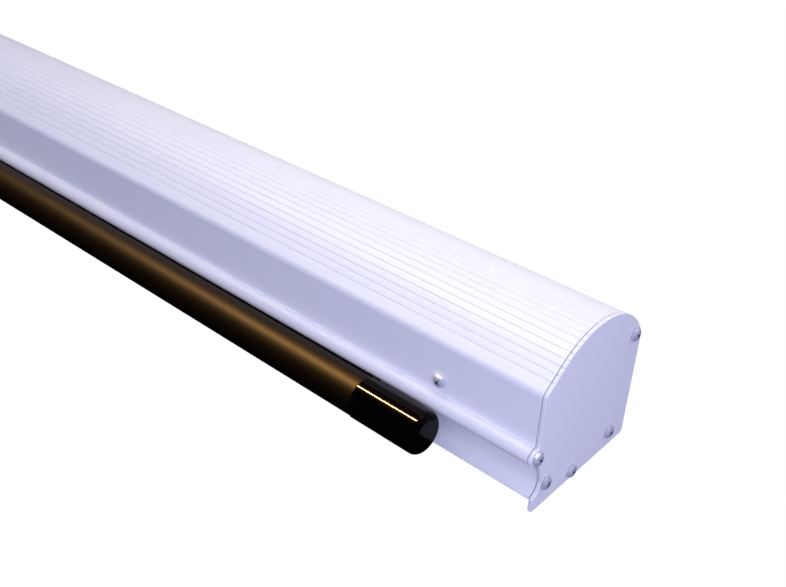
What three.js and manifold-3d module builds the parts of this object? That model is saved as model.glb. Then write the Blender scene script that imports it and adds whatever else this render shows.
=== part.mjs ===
// Motorized projector screen: a wall case with a roller, a tubular motor and a weighted fabric screen.
// Millimetres. X runs along the case, Y points at the wall and Z points up.
// Sections are drawn as depth, measured forward from the wall, and height above the end plates' foot.
import * as THREE from 'three';
import { mergeVertices } from 'three/addons/utils/BufferGeometryUtils.js';
import Module from 'manifold-3d';

const wasm = await Module();
wasm.setup();

// Fabric and picture
const imageWidth = 2214;
const imageHeight = 1245;
const sideBorder = 25;
const topDrop = 305;
const bottomBorder = 50;
const spareFabric = 300;
const fabricThickness = 0.4;
const fabricWidth = imageWidth + 2 * sideBorder;
const fullDrop = topDrop + imageHeight + bottomBorder;

// Fits
const seatGap = 0.2;
const runningGap = 0.5;
const fabricGap = 0.3;
const cutOverrun = 2;

// Length of the case, from the fabric's edges out
const rightMargin = 89.4;
const leftMargin = 130.6;
const plateThickness = 2;
const plateGap = 0.4;
const rightEnd = (fabricWidth + rightMargin + leftMargin) / 2;
const leftEnd = -rightEnd;
const shellRight = rightEnd - plateThickness - plateGap;
const shellLeft = leftEnd + plateThickness + plateGap;
const fabricRight = rightEnd - rightMargin;
const fabricLeft = fabricRight - fabricWidth;

// Section of the case: arch, slope and front panel
const wall = 1.6;
const archRadius = 43.9;
const archBackTrim = 4.7;
const archCentreDepth = archRadius - archBackTrim;
const archCentreHeight = 38.4;
const slopeAngle = THREE.MathUtils.degToRad(38.7);
const slopeRun = 11.25;
const slopeLength = slopeRun / Math.cos(slopeAngle);
const leastCornerRadius = 0.4;
const frontDepth = archCentreDepth + archRadius * Math.sin(slopeAngle) + slopeRun;
const frontCornerRadius = 4.2;
const backCornerRadius = 2.3;

// Rail under the front panel
const beadRadius = 4.2;
const beadStandOff = 1.1;
const beadCentreDepth = frontDepth + beadStandOff;
const beadCentreHeight = 31.9;

// Cove and lip under the rail
const coveRadius = 8;
const coveReach = 2.5;
const coveCentreDepth = frontDepth + coveReach;
const coveCentreHeight = 14.1;
const coveBackDepth = coveCentreDepth - coveRadius;
const coveWallTop = 26.5;
const lipSetBack = 2.8;
const lipDepth = coveCentreDepth - lipSetBack;
const floorFrontDepth = 66;
const noseBackHeight = 12;

// End plate's own lower front corner
const plateTabReach = 0.3;
const plateCornerRadius = 1.4;
const plateEdgeRound = 0.45;
const plateProud = 0.3;
const plateCoveSlopeDepth = 3.4;
const plateFootDrop = 1.1;
const plateDepthAtTab = lipDepth + plateTabReach;

// Grooves along the arch and the slope
const grooveCount = 12;
const groovePitch = 3.8;
const grooveWidth = 1;
const grooveDepth = 0.45;
const firstGrooveRise = 6.6;

// Screw ports in the extrusion, which take the end plates' screws
const portRadius = 3.4;
const portBore = 1.8;
const portOverlap = 0.3;
const portStem = 2.4;
const bottomPortShare = 0.602;
const backPortDepth = 15.4;
const backPortHeight = 8.5;
const topPortDepth = 7;
const nosePortInset = 3.3;
const nosePortDrop = 2.5;

// Cross-head pan screws
const headRadius = 3.3;
const headHeight = 2.1;
const headEdge = 0.6;
const shankRadius = 1.6;
const shankLength = 12;
const crossWidth = 0.8;
const crossSpan = 3.7;
const crossDepth = 1.2;
const screwHole = 2.2;

// Roller
const rollerRadius = 25;
const rollerWall = 1.5;
const rollerBore = rollerRadius - rollerWall;
const tubeOverhang = 10;
const tubeRight = fabricRight + tubeOverhang;
const tubeLeft = fabricLeft - tubeOverhang;
const woundInner = rollerRadius + seatGap;
const woundLength = fullDrop + spareFabric;
const woundRadius = Math.hypot(woundInner, Math.sqrt((woundLength * fabricThickness) / Math.PI));

// Fabric's path from the roll, under the rail and down
const beadPathRadius = beadRadius + fabricGap + fabricThickness;
const dropDepth = coveCentreDepth + fabricGap + fabricThickness / 2;
const beadLeaveAngle = THREE.MathUtils.degToRad(240);
const dropGap = 0.3;
const dropLength = 8;

// Weight bar, in front of the drawn-out fabric
const sleeveThickness = 0.8;
const barRadius = 9.4;
const barWall = 1.2;
const sleeveRadius = barRadius + seatGap + sleeveThickness;
const capProud = 0.4;
const capRadius = sleeveRadius + capProud;
const barDepth = dropDepth + fabricThickness / 2 + seatGap + sleeveRadius;
const barBeadGap = 0.8;
const barReach = beadRadius + capRadius + barBeadGap;
const barHeight = beadCentreHeight - Math.sqrt(barReach ** 2 - (barDepth - beadCentreDepth) ** 2);
const capLength = 39.4;
const capRound = 3.4;
const capPlugLength = 22;

// Brackets that carry the roller's two ends
const bracketThickness = 2;
const bracketFlange = 16;
const frontScrewInset = 55.6;
const frontScrewHeight = 43.1;
const bracketWallGap = 0.3;
const bracketFoot = 8.6;
const bracketBackTop = 52;
const bracketShoulderDepth = 14;
const frontScrewLength = 8;
const bracketNoseDepth = 64;
const bracketFrontFoot = beadCentreHeight + beadRadius + bracketWallGap;
const idlerScrewX = rightEnd - frontScrewInset;
const idlerWebOuter = idlerScrewX - bracketFlange / 2;
const idlerWebInner = idlerWebOuter - bracketThickness;
const motorScrewX = fabricLeft - (rightMargin - frontScrewInset);
const motorWebOuter = motorScrewX + bracketFlange / 2;
const motorWebInner = motorWebOuter + bracketThickness;

// Idler end
const plugFlangeRadius = 26;
const plugFlangeThickness = 3;
const plugLength = 36;
const bearingRadius = 11;
const bearingWidth = 7;
const pinRadius = 4;
const pinTail = 18;
const collarRadius = 7;
const nutRadius = 7.5;
const nutThickness = 5;
const pinNose = 8;
const pinBore = 7;

// Motor end
const motorRadius = 21.5;
const motorWall = 1.2;
const motorLength = 420;
const motorHubRadius = 12;
const motorHubReach = 4;
const motorNeckLength = 20;
const crownLength = 12;
const crownWall = 1.6;
const driveWheelLength = 18;
const shaftRadius = 6;
const shaftFlatShare = 0.8;
const gearboxLength = 92;
const coreLength = 110;
const capacitorLength = 60;
const motorPartSpacing = 8;
const headScrewOffset = 17;
const limitScrewRadius = 2.6;
const limitScrewLength = 7;
const limitScrewOffset = 6;
const limitSocketRadius = 1.3;
const limitSocketDepth = 3;
const limitPocketGap = 0.4;

// Control box beyond the motor bracket
const boxLength = 70;
const boxDepth = 40;
const boxWall = 2;
const boxBottom = 12.4;
const boxTop = 54;
const boxPlateGap = 5;
const lidThickness = 2;
const boardThickness = 1.6;
const boardMargin = 2;
const boardStandOff = 4;
const relayLength = 16;
const relayWidth = 12;
const relayHeight = 13;
const transformerLength = 24;
const transformerWidth = 20;
const transformerHeight = 18;
const terminalLength = 22;
const terminalWidth = 9;
const terminalHeight = 10;
const partInset = 2;

// Control socket, mains gland and infrared window
const socketWidth = 14;
const socketHeight = 12;
const socketLength = 15;
const socketWall = 1.1;
const socketCavityDepth = 11;
const glandRadius = 6;
const glandBore = 4;
const glandFlangeRadius = 9;
const glandFlangeThickness = 4;
const glandDomeLength = 9;
const glandDomeRadius = 7.2;
const glandDepth = 57;
const glandHeight = 33;
const glandTail = 9;
const glandNutRadius = 10;
const glandNutThickness = 4;
const windowRadius = 5;
const windowFlange = 6.5;
const windowProud = 1;
const windowInset = 40;
const windowHeight = 50;
const receiverSize = 9;
const receiverDepth = 6;
const leadRadius = 3;
const leadEntry = 3;
const leadBendShare = 0.7;

// Keyholes in the back wall
const keyholeInset = 300;
const keyholeRadius = 5.5;
const keyholeSlot = 2.6;
const keyholeRise = 9;
const keyholeHeight = 34;

// Facets
const roundFacets = 36;
const smallFacets = 20;
const screwFacets = 12;
const archFacet = THREE.MathUtils.degToRad(5);

// Origin: the middle of the flat back, which lies on the wall
const archBackHeight = archCentreHeight + Math.sqrt(archRadius ** 2 - archCentreDepth ** 2);
const originHeight = (backCornerRadius + archBackHeight) / 2;

// Materials
const material = (color, roughness, metalness = 0) =>
  new THREE.MeshStandardMaterial({ color, roughness, metalness });
const whitePowderCoat = material(0xe6e6f2, 0.35);
const barBlack = material(0x1a1715, 0.45);
const glossBlack = material(0x0a0a0a, 0.15);
const blackFabric = material(0x141414, 0.85);
const screwSteel = material(0x9a9aa8, 0.35, 0.9);
const zincSteel = material(0xb8bcc4, 0.4, 0.9);
const bareAluminium = material(0xc4c7cc, 0.4, 0.9);
const whitePlastic = material(0xe4e4e0, 0.45);
const greyPlastic = material(0x55585c, 0.55);
const blackPlastic = material(0x1c1c1e, 0.5);
const boardGreen = material(0x1f5a38, 0.5);
const relayBlue = material(0x2a4f8f, 0.5);
const windowRed = material(0x2a0a10, 0.15);

// Solids
function solidOf(geometry) {
  const bare = geometry.index ? geometry.toNonIndexed() : geometry.clone();
  bare.deleteAttribute('normal');
  bare.deleteAttribute('uv');
  const merged = mergeVertices(bare);
  const triVerts = new Uint32Array(merged.index.array);
  const vertProperties = merged.attributes.position.array;
  return new wasm.Manifold(new wasm.Mesh({ numProp: 3, vertProperties, triVerts }));
}

function geometryOf(solid) {
  const mesh = solid.getMesh();
  const geometry = new THREE.BufferGeometry();
  geometry.setAttribute('position', new THREE.BufferAttribute(mesh.vertProperties, mesh.numProp));
  geometry.setIndex(new THREE.BufferAttribute(mesh.triVerts, 1));
  geometry.computeVertexNormals();
  return geometry;
}

function shaped(base, { join = [], cut = [] }) {
  let solid = solidOf(base);
  for (const piece of join) {
    solid = solid.add(solidOf(piece));
  }
  for (const piece of cut) {
    solid = solid.subtract(solidOf(piece));
  }
  return geometryOf(solid);
}

// Outlines, as lists of [depth, height]
function arc(centreDepth, centreHeight, radius, from, to, steps) {
  return Array.from({ length: steps + 1 }, (_, i) => {
    const angle = from + ((to - from) * i) / steps;
    return [centreDepth + radius * Math.cos(angle), centreHeight + radius * Math.sin(angle)];
  });
}

function circle(centreDepth, centreHeight, radius, facets) {
  return arc(centreDepth, centreHeight, radius, 0, 2 * Math.PI, facets).slice(0, facets);
}

function hexagon(centreDepth, centreHeight, radius) {
  const sides = 6;
  return circle(centreDepth, centreHeight, radius, sides);
}

function rectangle(depthFrom, depthTo, heightFrom, heightTo) {
  return [[depthFrom, heightFrom], [depthTo, heightFrom], [depthTo, heightTo], [depthFrom, heightTo]];
}

// The corner at b, between a and c, rounded to the given radius
function rounded(a, b, c, radius, steps = 4) {
  const toA = new THREE.Vector2(a[0] - b[0], a[1] - b[1]).normalize();
  const toC = new THREE.Vector2(c[0] - b[0], c[1] - b[1]).normalize();
  const half = Math.acos(THREE.MathUtils.clamp(toA.dot(toC), -1, 1)) / 2;
  const along = radius / Math.tan(half);
  const middle = toA.clone().add(toC).normalize().multiplyScalar(radius / Math.sin(half));
  const centre = new THREE.Vector2(b[0], b[1]).add(middle);
  const start = new THREE.Vector2(b[0], b[1]).addScaledVector(toA, along).sub(centre).angle();
  const end = new THREE.Vector2(b[0], b[1]).addScaledVector(toC, along).sub(centre).angle();
  let turn = end - start;
  if (turn > Math.PI) turn -= 2 * Math.PI;
  if (turn < -Math.PI) turn += 2 * Math.PI;
  return arc(centre.x, centre.y, radius, start, start + turn, steps);
}

// Solids along the case. Local x, y and z become Y, Z and X.
const alongCase = new THREE.Matrix4().makeBasis(
  new THREE.Vector3(0, 1, 0), new THREE.Vector3(0, 0, 1), new THREE.Vector3(1, 0, 0));

function shapeOf(outline) {
  return new THREE.Shape(outline.map(([depth, height]) => new THREE.Vector2(-depth, height)));
}

function prism(outline, from, to) {
  const geometry = new THREE.ExtrudeGeometry(shapeOf(outline), {
    depth: Math.abs(to - from), bevelEnabled: false,
  });
  return geometry.applyMatrix4(alongCase).translate(Math.min(from, to), 0, 0);
}

function block(fromX, toX, depthFrom, depthTo, heightFrom, heightTo) {
  return prism(rectangle(depthFrom, depthTo, heightFrom, heightTo), fromX, toX);
}

function rod(radius, from, to, depth, height, facets = smallFacets) {
  return prism(circle(depth, height, radius, facets), from, to);
}

// A profile of [x, radius] turned about an axis along the case. Both ends lie on the axis, or it closes.
const lathed = new THREE.Matrix4().makeBasis(
  new THREE.Vector3(0, 0, 1), new THREE.Vector3(1, 0, 0), new THREE.Vector3(0, 1, 0));

function turned(profile, depth, height, facets = roundFacets) {
  const points = profile.map(([x, radius]) => new THREE.Vector2(radius, x));
  const geometry = new THREE.LatheGeometry(points, facets).applyMatrix4(lathed);
  const outward = new THREE.Matrix4().makeTranslation(0, -depth, height);
  return geometry.applyMatrix4(outward);
}

function ring(inner, outer, from, to, depth, height, facets = roundFacets) {
  const profile = [[from, inner], [from, outer], [to, outer], [to, inner], [from, inner]];
  return turned(profile, depth, height, facets);
}

// Rods and rings on the roller's axis
function rollerRod(radius, from, to, facets = roundFacets) {
  return rod(radius, from, to, archCentreDepth, archCentreHeight, facets);
}

function rollerRing(inner, outer, from, to, facets = roundFacets) {
  return ring(inner, outer, from, to, archCentreDepth, archCentreHeight, facets);
}

// Section of the case
function archAngleAtDepth(depth, inset) {
  return Math.acos((depth - archCentreDepth) / (archRadius - inset));
}

// Turn of the arch at a way up along the slope and the arch from the slope's foot
function roofAngle(run) {
  return Math.PI / 2 - slopeAngle + (run - slopeLength) / archRadius;
}

// Point a way up along the slope and the arch, sunk below their surface
function roofPoint(run, sink) {
  const radius = archRadius - sink;
  const angle = roofAngle(Math.max(run, slopeLength));
  const before = Math.max(slopeLength - run, 0);
  return [
    archCentreDepth + radius * Math.cos(angle) + before * Math.cos(slopeAngle),
    archCentreHeight + radius * Math.sin(angle) - before * Math.sin(slopeAngle),
  ];
}

// Front panel, slope, arch and back of the case, from the front panel's foot to the back wall's foot
function caseOutline(inset, panelFoot, backFoot, grooved = false) {
  const radius = archRadius - inset;
  const slopeTop = [
    archCentreDepth + radius * Math.sin(slopeAngle),
    archCentreHeight + radius * Math.cos(slopeAngle),
  ];
  const frontX = frontDepth - inset;
  const frontCorner = [frontX, slopeTop[1] - (frontX - slopeTop[0]) * Math.tan(slopeAngle)];
  const cornerRadius = Math.max(frontCornerRadius - inset, leastCornerRadius);
  const archEnd = archAngleAtDepth(inset, inset);
  const outline = [[frontX, panelFoot]];
  outline.push(...rounded([frontX, panelFoot], frontCorner, slopeTop, cornerRadius));
  const grooves = grooved ? grooveCount : 0;
  for (let i = 0; i < grooves; i += 1) {
    const run = firstGrooveRise + i * groovePitch;
    outline.push(roofPoint(run - grooveWidth / 2, inset), roofPoint(run, inset + grooveDepth),
      roofPoint(run + grooveWidth / 2, inset));
  }
  const lastRun = grooves ? firstGrooveRise + (grooves - 1) * groovePitch + groovePitch / 2 : slopeLength;
  const restStart = roofAngle(Math.max(lastRun, slopeLength));
  const steps = Math.max(Math.ceil((archEnd - restStart) / archFacet), 1);
  outline.push(...arc(archCentreDepth, archCentreHeight, radius, restStart, archEnd, steps));
  outline.push([inset, backFoot]);
  return outline;
}

function beadAngle(depth, radius) {
  return Math.acos((depth - beadCentreDepth) / radius);
}

function beadHeight(depth, radius) {
  return beadCentreHeight + radius * Math.sin(beadAngle(depth, radius));
}

// Cove from a depth on its lower front to its deepest place
function coveArc(fromDepth, steps) {
  const fromAngle = -Math.PI / 2 - Math.asin((coveCentreDepth - fromDepth) / coveRadius);
  return arc(coveCentreDepth, coveCentreHeight, coveRadius, fromAngle, -Math.PI, steps);
}

// The extrusion's whole section, round its outside and back along its inside
function shellOutline() {
  const beadSteps = 18;
  const coveSteps = 8;
  const tipSteps = 5;
  const panelBack = frontDepth - wall;
  const outer = caseOutline(0, beadHeight(frontDepth, beadRadius), backCornerRadius, true);
  const inner = caseOutline(wall, beadHeight(panelBack, beadRadius), wall).reverse();
  const backCorner = rounded([0, archCentreHeight], [0, 0], [floorFrontDepth, 0], backCornerRadius);
  const cove = coveArc(lipDepth - wall / 2, coveSteps);
  const [tipDepth, tipTop] = cove[0];
  const lip = arc(tipDepth, tipTop - wall / 2, wall / 2, -Math.PI / 2, Math.PI / 2, tipSteps);
  const wallTop = arc(coveBackDepth - wall / 2, coveWallTop - wall / 2, wall / 2, 0, Math.PI, tipSteps);
  const nose = [[coveBackDepth - wall, noseBackHeight], [floorFrontDepth, wall]];
  const beadFrom = beadAngle(panelBack, beadRadius);
  const beadTo = 2 * Math.PI + beadAngle(frontDepth, beadRadius);
  const bead = arc(beadCentreDepth, beadCentreHeight, beadRadius, beadFrom, beadTo, beadSteps);
  return [...outer.slice(0, -1), ...backCorner, [floorFrontDepth, 0], ...lip, ...cove.slice(1), ...wallTop,
    ...nose, ...inner, ...bead.slice(1, -1)];
}

function topPortHeight() {
  const reach = archRadius - wall - portRadius + portOverlap;
  return archCentreHeight + Math.sqrt(reach ** 2 - (archCentreDepth - topPortDepth) ** 2);
}

// Where the end plates' screws go: [name, depth, height]
const platePorts = [
  ['rail', beadCentreDepth, beadCentreHeight],
  ['nose', coveBackDepth - nosePortInset, coveCentreHeight - nosePortDrop],
  ['floor', frontDepth * bottomPortShare, portRadius + wall / 2],
  ['back', backPortDepth, backPortHeight],
  ['top', topPortDepth, topPortHeight()],
];

// Outline of the end plates, which carry on the grooves, stand a little proud of the shell over the top and at
// the front, and reach below it
function plateOutline() {
  const beadSteps = 10;
  const coveSteps = 8;
  const radius = beadRadius + plateProud;
  const panelDepth = frontDepth + plateProud;
  const over = caseOutline(-plateProud, beadHeight(panelDepth, radius), backCornerRadius, true)
    .filter(([depth]) => depth > 0);
  const backTop = archCentreHeight + Math.sqrt((archRadius + plateProud) ** 2 - archCentreDepth ** 2);
  const backFoot = [0, -plateFootDrop];
  const tabFoot = [plateDepthAtTab, -plateFootDrop];
  const cove = coveArc(plateDepthAtTab, coveSteps);
  const backCorner = rounded([0, backTop], backFoot, tabFoot, backCornerRadius);
  const frontCorner = rounded(backFoot, tabFoot, cove[0], plateCornerRadius);
  const beadFoot = [coveBackDepth + plateCoveSlopeDepth, beadCentreHeight - beadRadius - coveReach];
  const beadTo = beadAngle(panelDepth, radius);
  const bead = arc(beadCentreDepth, beadCentreHeight, radius, -Math.PI / 2, beadTo, beadSteps);
  return [...over, [0, backTop], ...backCorner, ...frontCorner, ...cove,
    beadFoot, ...bead.slice(0, -1)];
}

function caseShell() {
  const base = prism(shellOutline(), shellLeft, shellRight);
  const join = [];
  const cut = [];
  for (const [name, depth, height] of platePorts) {
    if (name !== 'rail') {
      join.push(rod(portRadius, shellLeft, shellRight, depth, height, screwFacets));
    }
    cut.push(rod(portBore, shellLeft - cutOverrun, shellRight + cutOverrun, depth, height, screwFacets));
  }
  const stemFrom = backPortDepth - portStem / 2;
  const stemTo = backPortDepth + portStem / 2;
  const stemTop = backPortHeight - portRadius + portOverlap;
  join.push(block(shellLeft, shellRight, stemFrom, stemTo, wall / 2, stemTop));
  for (const x of [idlerScrewX, motorScrewX]) {
    cut.push(acrossFront(screwHole, x, frontScrewHeight));
  }
  cut.push(acrossFront(windowRadius + seatGap, windowX, windowHeight));
  for (const x of [leftEnd + keyholeInset, rightEnd - keyholeInset]) {
    cut.push(keyhole(x));
  }
  return shaped(base, { join, cut });
}

// A round cutter through the front panel and a bracket's flange behind it
function acrossFront(radius, x, height) {
  const reach = wall + bracketWallGap + bracketThickness;
  return new THREE.CylinderGeometry(radius, radius, reach + 2 * cutOverrun, screwFacets)
    .translate(x, -frontDepth + reach / 2, height);
}

// A keyhole through the back wall: a round mouth with a narrow slot above it
function keyhole(x) {
  const reach = wall + 2 * cutOverrun;
  const mouth = new THREE.CylinderGeometry(keyholeRadius, keyholeRadius, reach, smallFacets)
    .translate(x, -wall / 2, keyholeHeight);
  const slotEnd = new THREE.CylinderGeometry(keyholeSlot, keyholeSlot, reach, screwFacets)
    .translate(x, -wall / 2, keyholeHeight + keyholeRise);
  const slot = new THREE.BoxGeometry(2 * keyholeSlot, reach, keyholeRise)
    .translate(x, -wall / 2, keyholeHeight + keyholeRise / 2);
  return shaped(mouth, { join: [slot, slotEnd] });
}

function endPlate(from, openings = []) {
  const sheet = new THREE.ExtrudeGeometry(shapeOf(plateOutline()), {
    depth: plateThickness - 2 * plateEdgeRound,
    bevelThickness: plateEdgeRound,
    bevelSize: plateEdgeRound,
    bevelOffset: -plateEdgeRound,
    bevelSegments: 2,
  });
  sheet.applyMatrix4(alongCase).translate(from + plateEdgeRound, 0, 0);
  const low = from - cutOverrun;
  const high = from + plateThickness + cutOverrun;
  const holes = platePorts.map(([, depth, height]) =>
    rod(screwHole, low, high, depth, height, screwFacets));
  return shaped(sheet, { cut: [...holes, ...openings] });
}

// A pan-head screw with its head's underside at x 0 and its shank towards -X
function panScrew(length = shankLength) {
  const domeSteps = 4;
  const profile = [[-length, 0], [-length, shankRadius], [0, shankRadius], [0, headRadius]];
  for (let i = 0; i < domeSteps; i += 1) {
    const angle = (Math.PI / 2) * (i / domeSteps);
    profile.push([headEdge + (headHeight - headEdge) * Math.sin(angle), headRadius * Math.cos(angle)]);
  }
  profile.push([headHeight, 0]);
  const body = turned(profile, 0, 0, screwFacets);
  const bottom = headHeight - crossDepth;
  const top = headHeight + cutOverrun;
  const wide = block(bottom, top, -crossSpan / 2, crossSpan / 2, -crossWidth / 2, crossWidth / 2);
  const tall = block(bottom, top, -crossWidth / 2, crossWidth / 2, -crossSpan / 2, crossSpan / 2);
  return shaped(body, { cut: [wide, tall] });
}

const towardRight = new THREE.Euler(0, 0, 0);
const towardLeft = new THREE.Euler(0, 0, Math.PI);
const towardFront = new THREE.Euler(0, 0, -Math.PI / 2);

function placed(geometry, x, depth, height, turn) {
  const place = new THREE.Matrix4().makeRotationFromEuler(turn).setPosition(x, -depth, height);
  return geometry.applyMatrix4(place);
}

// Bent sheet that carries one end of the roller: a web across the case, from its roller side to its
// outer side, and flanges from there on the front panel and on the back wall
function bracket(webFrom, webTo, flangeTo, hubHole, screwOffsets = []) {
  const inset = wall + bracketWallGap;
  const portTop = backPortHeight + 2 * portRadius;
  const overTop = caseOutline(inset, bracketFrontFoot, bracketBackTop)
    .filter(([depth]) => depth > bracketShoulderDepth);
  const outline = [
    ...overTop,
    [bracketShoulderDepth, bracketBackTop],
    [inset, bracketBackTop],
    [inset, portTop],
    [backPortDepth, portTop],
    [backPortDepth + 2 * portRadius, bracketFoot],
    [bracketNoseDepth, bracketFoot],
    [bracketNoseDepth, bracketFrontFoot],
  ];
  const web = prism(outline, webFrom, webTo);
  const panelDepth = frontDepth - inset;
  const flangeTop = bracketFrontFoot + 2 * (frontScrewHeight - bracketFrontFoot);
  const low = Math.min(webFrom, webTo, flangeTo);
  const high = Math.max(webFrom, webTo, flangeTo);
  const flange = block(low, high, panelDepth - bracketThickness, panelDepth, bracketFrontFoot, flangeTop);
  const hook = block(low, high, inset, inset + bracketThickness, portTop, bracketBackTop);
  const cutFrom = Math.min(webFrom, webTo) - cutOverrun;
  const cutTo = Math.max(webFrom, webTo) + cutOverrun;
  const screwX = (flangeTo + webTo) / 2;
  const cut = [acrossFront(portBore, screwX, frontScrewHeight), rollerRod(hubHole, cutFrom, cutTo)];
  for (const offset of screwOffsets) {
    cut.push(rod(screwHole, cutFrom, cutTo, archCentreDepth + offset, archCentreHeight, screwFacets));
  }
  return shaped(web, { join: [flange, hook], cut });
}

// Roller
function idlerPlug() {
  const end = tubeRight + seatGap;
  const body = rollerBore - seatGap;
  const pocket = bearingRadius + seatGap;
  const pocketFloor = end + plugFlangeThickness - bearingWidth - 2 * seatGap;
  const boreFloor = pocketFloor - pinTail;
  const profile = [
    [tubeRight - plugLength, 0],
    [tubeRight - plugLength, body],
    [end, body],
    [end, plugFlangeRadius],
    [end + plugFlangeThickness, plugFlangeRadius],
    [end + plugFlangeThickness, pocket],
    [pocketFloor, pocket],
    [pocketFloor, pinBore],
    [boreFloor, pinBore],
    [boreFloor, 0],
  ];
  return turned(profile, archCentreDepth, archCentreHeight);
}

const bearingTo = tubeRight + plugFlangeThickness;
const bearingFrom = bearingTo - bearingWidth;

function idlerPin() {
  const tail = bearingFrom - pinTail / 2;
  const collarFrom = bearingTo + seatGap;
  const collarTo = idlerWebInner - seatGap;
  const profile = [
    [tail, 0],
    [tail, pinRadius],
    [collarFrom, pinRadius],
    [collarFrom, collarRadius],
    [collarTo, collarRadius],
    [collarTo, pinRadius],
    [idlerWebOuter + pinNose, pinRadius],
    [idlerWebOuter + pinNose, 0],
  ];
  return turned(profile, archCentreDepth, archCentreHeight, smallFacets);
}

function hexNut(radius, bore, from, to, depth, height) {
  const hole = rod(bore, from - cutOverrun, to + cutOverrun, depth, height);
  return shaped(prism(hexagon(depth, height, radius), from, to), { cut: [hole] });
}

// Motor
const motorHeadRight = tubeLeft - runningGap;
const motorHeadLeft = motorWebInner + seatGap;
const motorRight = motorHeadRight + motorLength;

function motorHead() {
  const hubEnd = motorWebOuter - motorHubReach;
  const profile = [
    [hubEnd, 0],
    [hubEnd, motorHubRadius],
    [motorHeadLeft, motorHubRadius],
    [motorHeadLeft, rollerRadius - runningGap],
    [motorHeadRight, rollerRadius - runningGap],
    [motorHeadRight, motorRadius - motorWall - seatGap],
    [motorHeadRight + motorNeckLength, motorRadius - motorWall - seatGap],
    [motorHeadRight + motorNeckLength, 0],
  ];
  const body = turned(profile, archCentreDepth, archCentreHeight);
  const cut = [];
  for (const side of [-1, 1]) {
    const pocketTo = hubEnd + limitScrewLength + seatGap;
    cut.push(rod(limitScrewRadius + limitPocketGap, hubEnd - cutOverrun, pocketTo,
      archCentreDepth, archCentreHeight + side * limitScrewOffset));
    cut.push(rod(portBore, motorHeadLeft - cutOverrun, motorHeadLeft + shankLength,
      archCentreDepth + side * headScrewOffset, archCentreHeight, screwFacets));
  }
  return shaped(body, { cut });
}

function limitScrew(side) {
  const from = motorWebOuter - motorHubReach;
  const height = archCentreHeight + side * limitScrewOffset;
  const body = rod(limitScrewRadius, from, from + limitScrewLength, archCentreDepth, height);
  const socket = prism(hexagon(archCentreDepth, height, limitSocketRadius),
    from - cutOverrun, from + limitSocketDepth);
  return shaped(body, { cut: [socket] });
}

// A round shaft with one flat, along the roller's axis
function flattedShaft(radius, from, to) {
  const flat = Math.acos(shaftFlatShare);
  const flatEnd = Math.PI / 2 + flat;
  const outline = arc(archCentreDepth, archCentreHeight, radius, flatEnd,
    flatEnd + 2 * (Math.PI - flat), smallFacets);
  return prism(outline, from, to);
}

const gearboxRight = motorRight - seatGap;
const gearboxLeft = gearboxRight - gearboxLength;
const coreRight = gearboxLeft - seatGap;
const coreLeft = coreRight - coreLength;
const capacitorRight = coreLeft - motorPartSpacing;
const shaftFrom = motorRight + seatGap;
const shaftTo = shaftFrom + motorPartSpacing + driveWheelLength;
const wheelFrom = shaftFrom + motorPartSpacing;

function driveWheel() {
  const wheelTo = wheelFrom + driveWheelLength;
  const disc = rollerRod(rollerBore - seatGap, wheelFrom, wheelTo);
  const bore = flattedShaft(shaftRadius + seatGap, wheelFrom - cutOverrun, wheelTo + cutOverrun);
  return shaped(disc, { cut: [bore] });
}

// Weight bar
function barCap(side) {
  const open = side > 0 ? fabricRight : fabricLeft;
  const end = open + side * capLength;
  const plug = open - side * capPlugLength;
  const roundSteps = 4;
  const profile = [
    [plug, 0],
    [plug, barRadius - barWall - seatGap],
    [open + side * seatGap, barRadius - barWall - seatGap],
    [open + side * seatGap, capRadius],
  ];
  for (let i = 0; i <= roundSteps; i += 1) {
    const angle = (Math.PI / 2) * (i / roundSteps);
    profile.push([
      end - side * capRound * (1 - Math.sin(angle)),
      capRadius - capRound * (1 - Math.cos(angle)),
    ]);
  }
  profile.push([end, 0]);
  return turned(side > 0 ? profile : profile.reverse(), barDepth, barHeight);
}

// Fabric
function fabricStrip(path) {
  const half = fabricThickness / 2;
  const side = (sign) => path.map(([depth, height], i) => {
    const before = path[Math.max(i - 1, 0)];
    const after = path[Math.min(i + 1, path.length - 1)];
    const along = new THREE.Vector2(after[0] - before[0], after[1] - before[1]).normalize();
    return [depth - sign * half * along.y, height + sign * half * along.x];
  });
  return prism([...side(1), ...side(-1).reverse()], fabricLeft, fabricRight);
}

// From the roll's front, behind the rail, round its underside and forward to the drop
function feedPath() {
  const railSteps = 4;
  const reach = woundRadius + fabricGap + fabricThickness / 2;
  const across = beadCentreDepth - archCentreDepth;
  const down = archCentreHeight - beadCentreHeight;
  const turn = Math.acos((reach + beadPathRadius) / Math.hypot(across, down));
  const leave = turn - Math.atan2(down, across);
  const start = [
    archCentreDepth + reach * Math.cos(leave),
    archCentreHeight + reach * Math.sin(leave),
  ];
  const rail = arc(beadCentreDepth, beadCentreHeight, beadPathRadius,
    leave + Math.PI, beadLeaveAngle, railSteps);
  const last = rail[railSteps];
  const fall = (dropDepth - last[0]) / Math.tan(beadLeaveAngle - Math.PI);
  return [start, ...rail, [dropDepth, last[1] - fall]];
}

const dropTop = feedPath().at(-1)[1] - dropGap;

// Control box
const boxLeft = leftEnd + plateThickness + boxPlateGap;
const boxRight = boxLeft + boxLength;
const boxBack = wall + bracketWallGap;
const boxFront = boxBack + boxDepth;
const boardBack = boxBack + boxWall + boardStandOff;
const boardFront = boardBack + boardThickness;
const boardLeft = boxLeft + boxWall + boardMargin;
const boardRight = boxRight - boxWall - boardMargin;
const boardBottom = boxBottom + boxWall + boardMargin;
const boardTop = boxTop - boxWall - boardMargin;
const socketBack = boardFront + seatGap;
const socketBottom = boardTop - partInset - socketHeight;
const socketLeft = leftEnd;
const windowX = leftEnd + windowInset;

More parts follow.
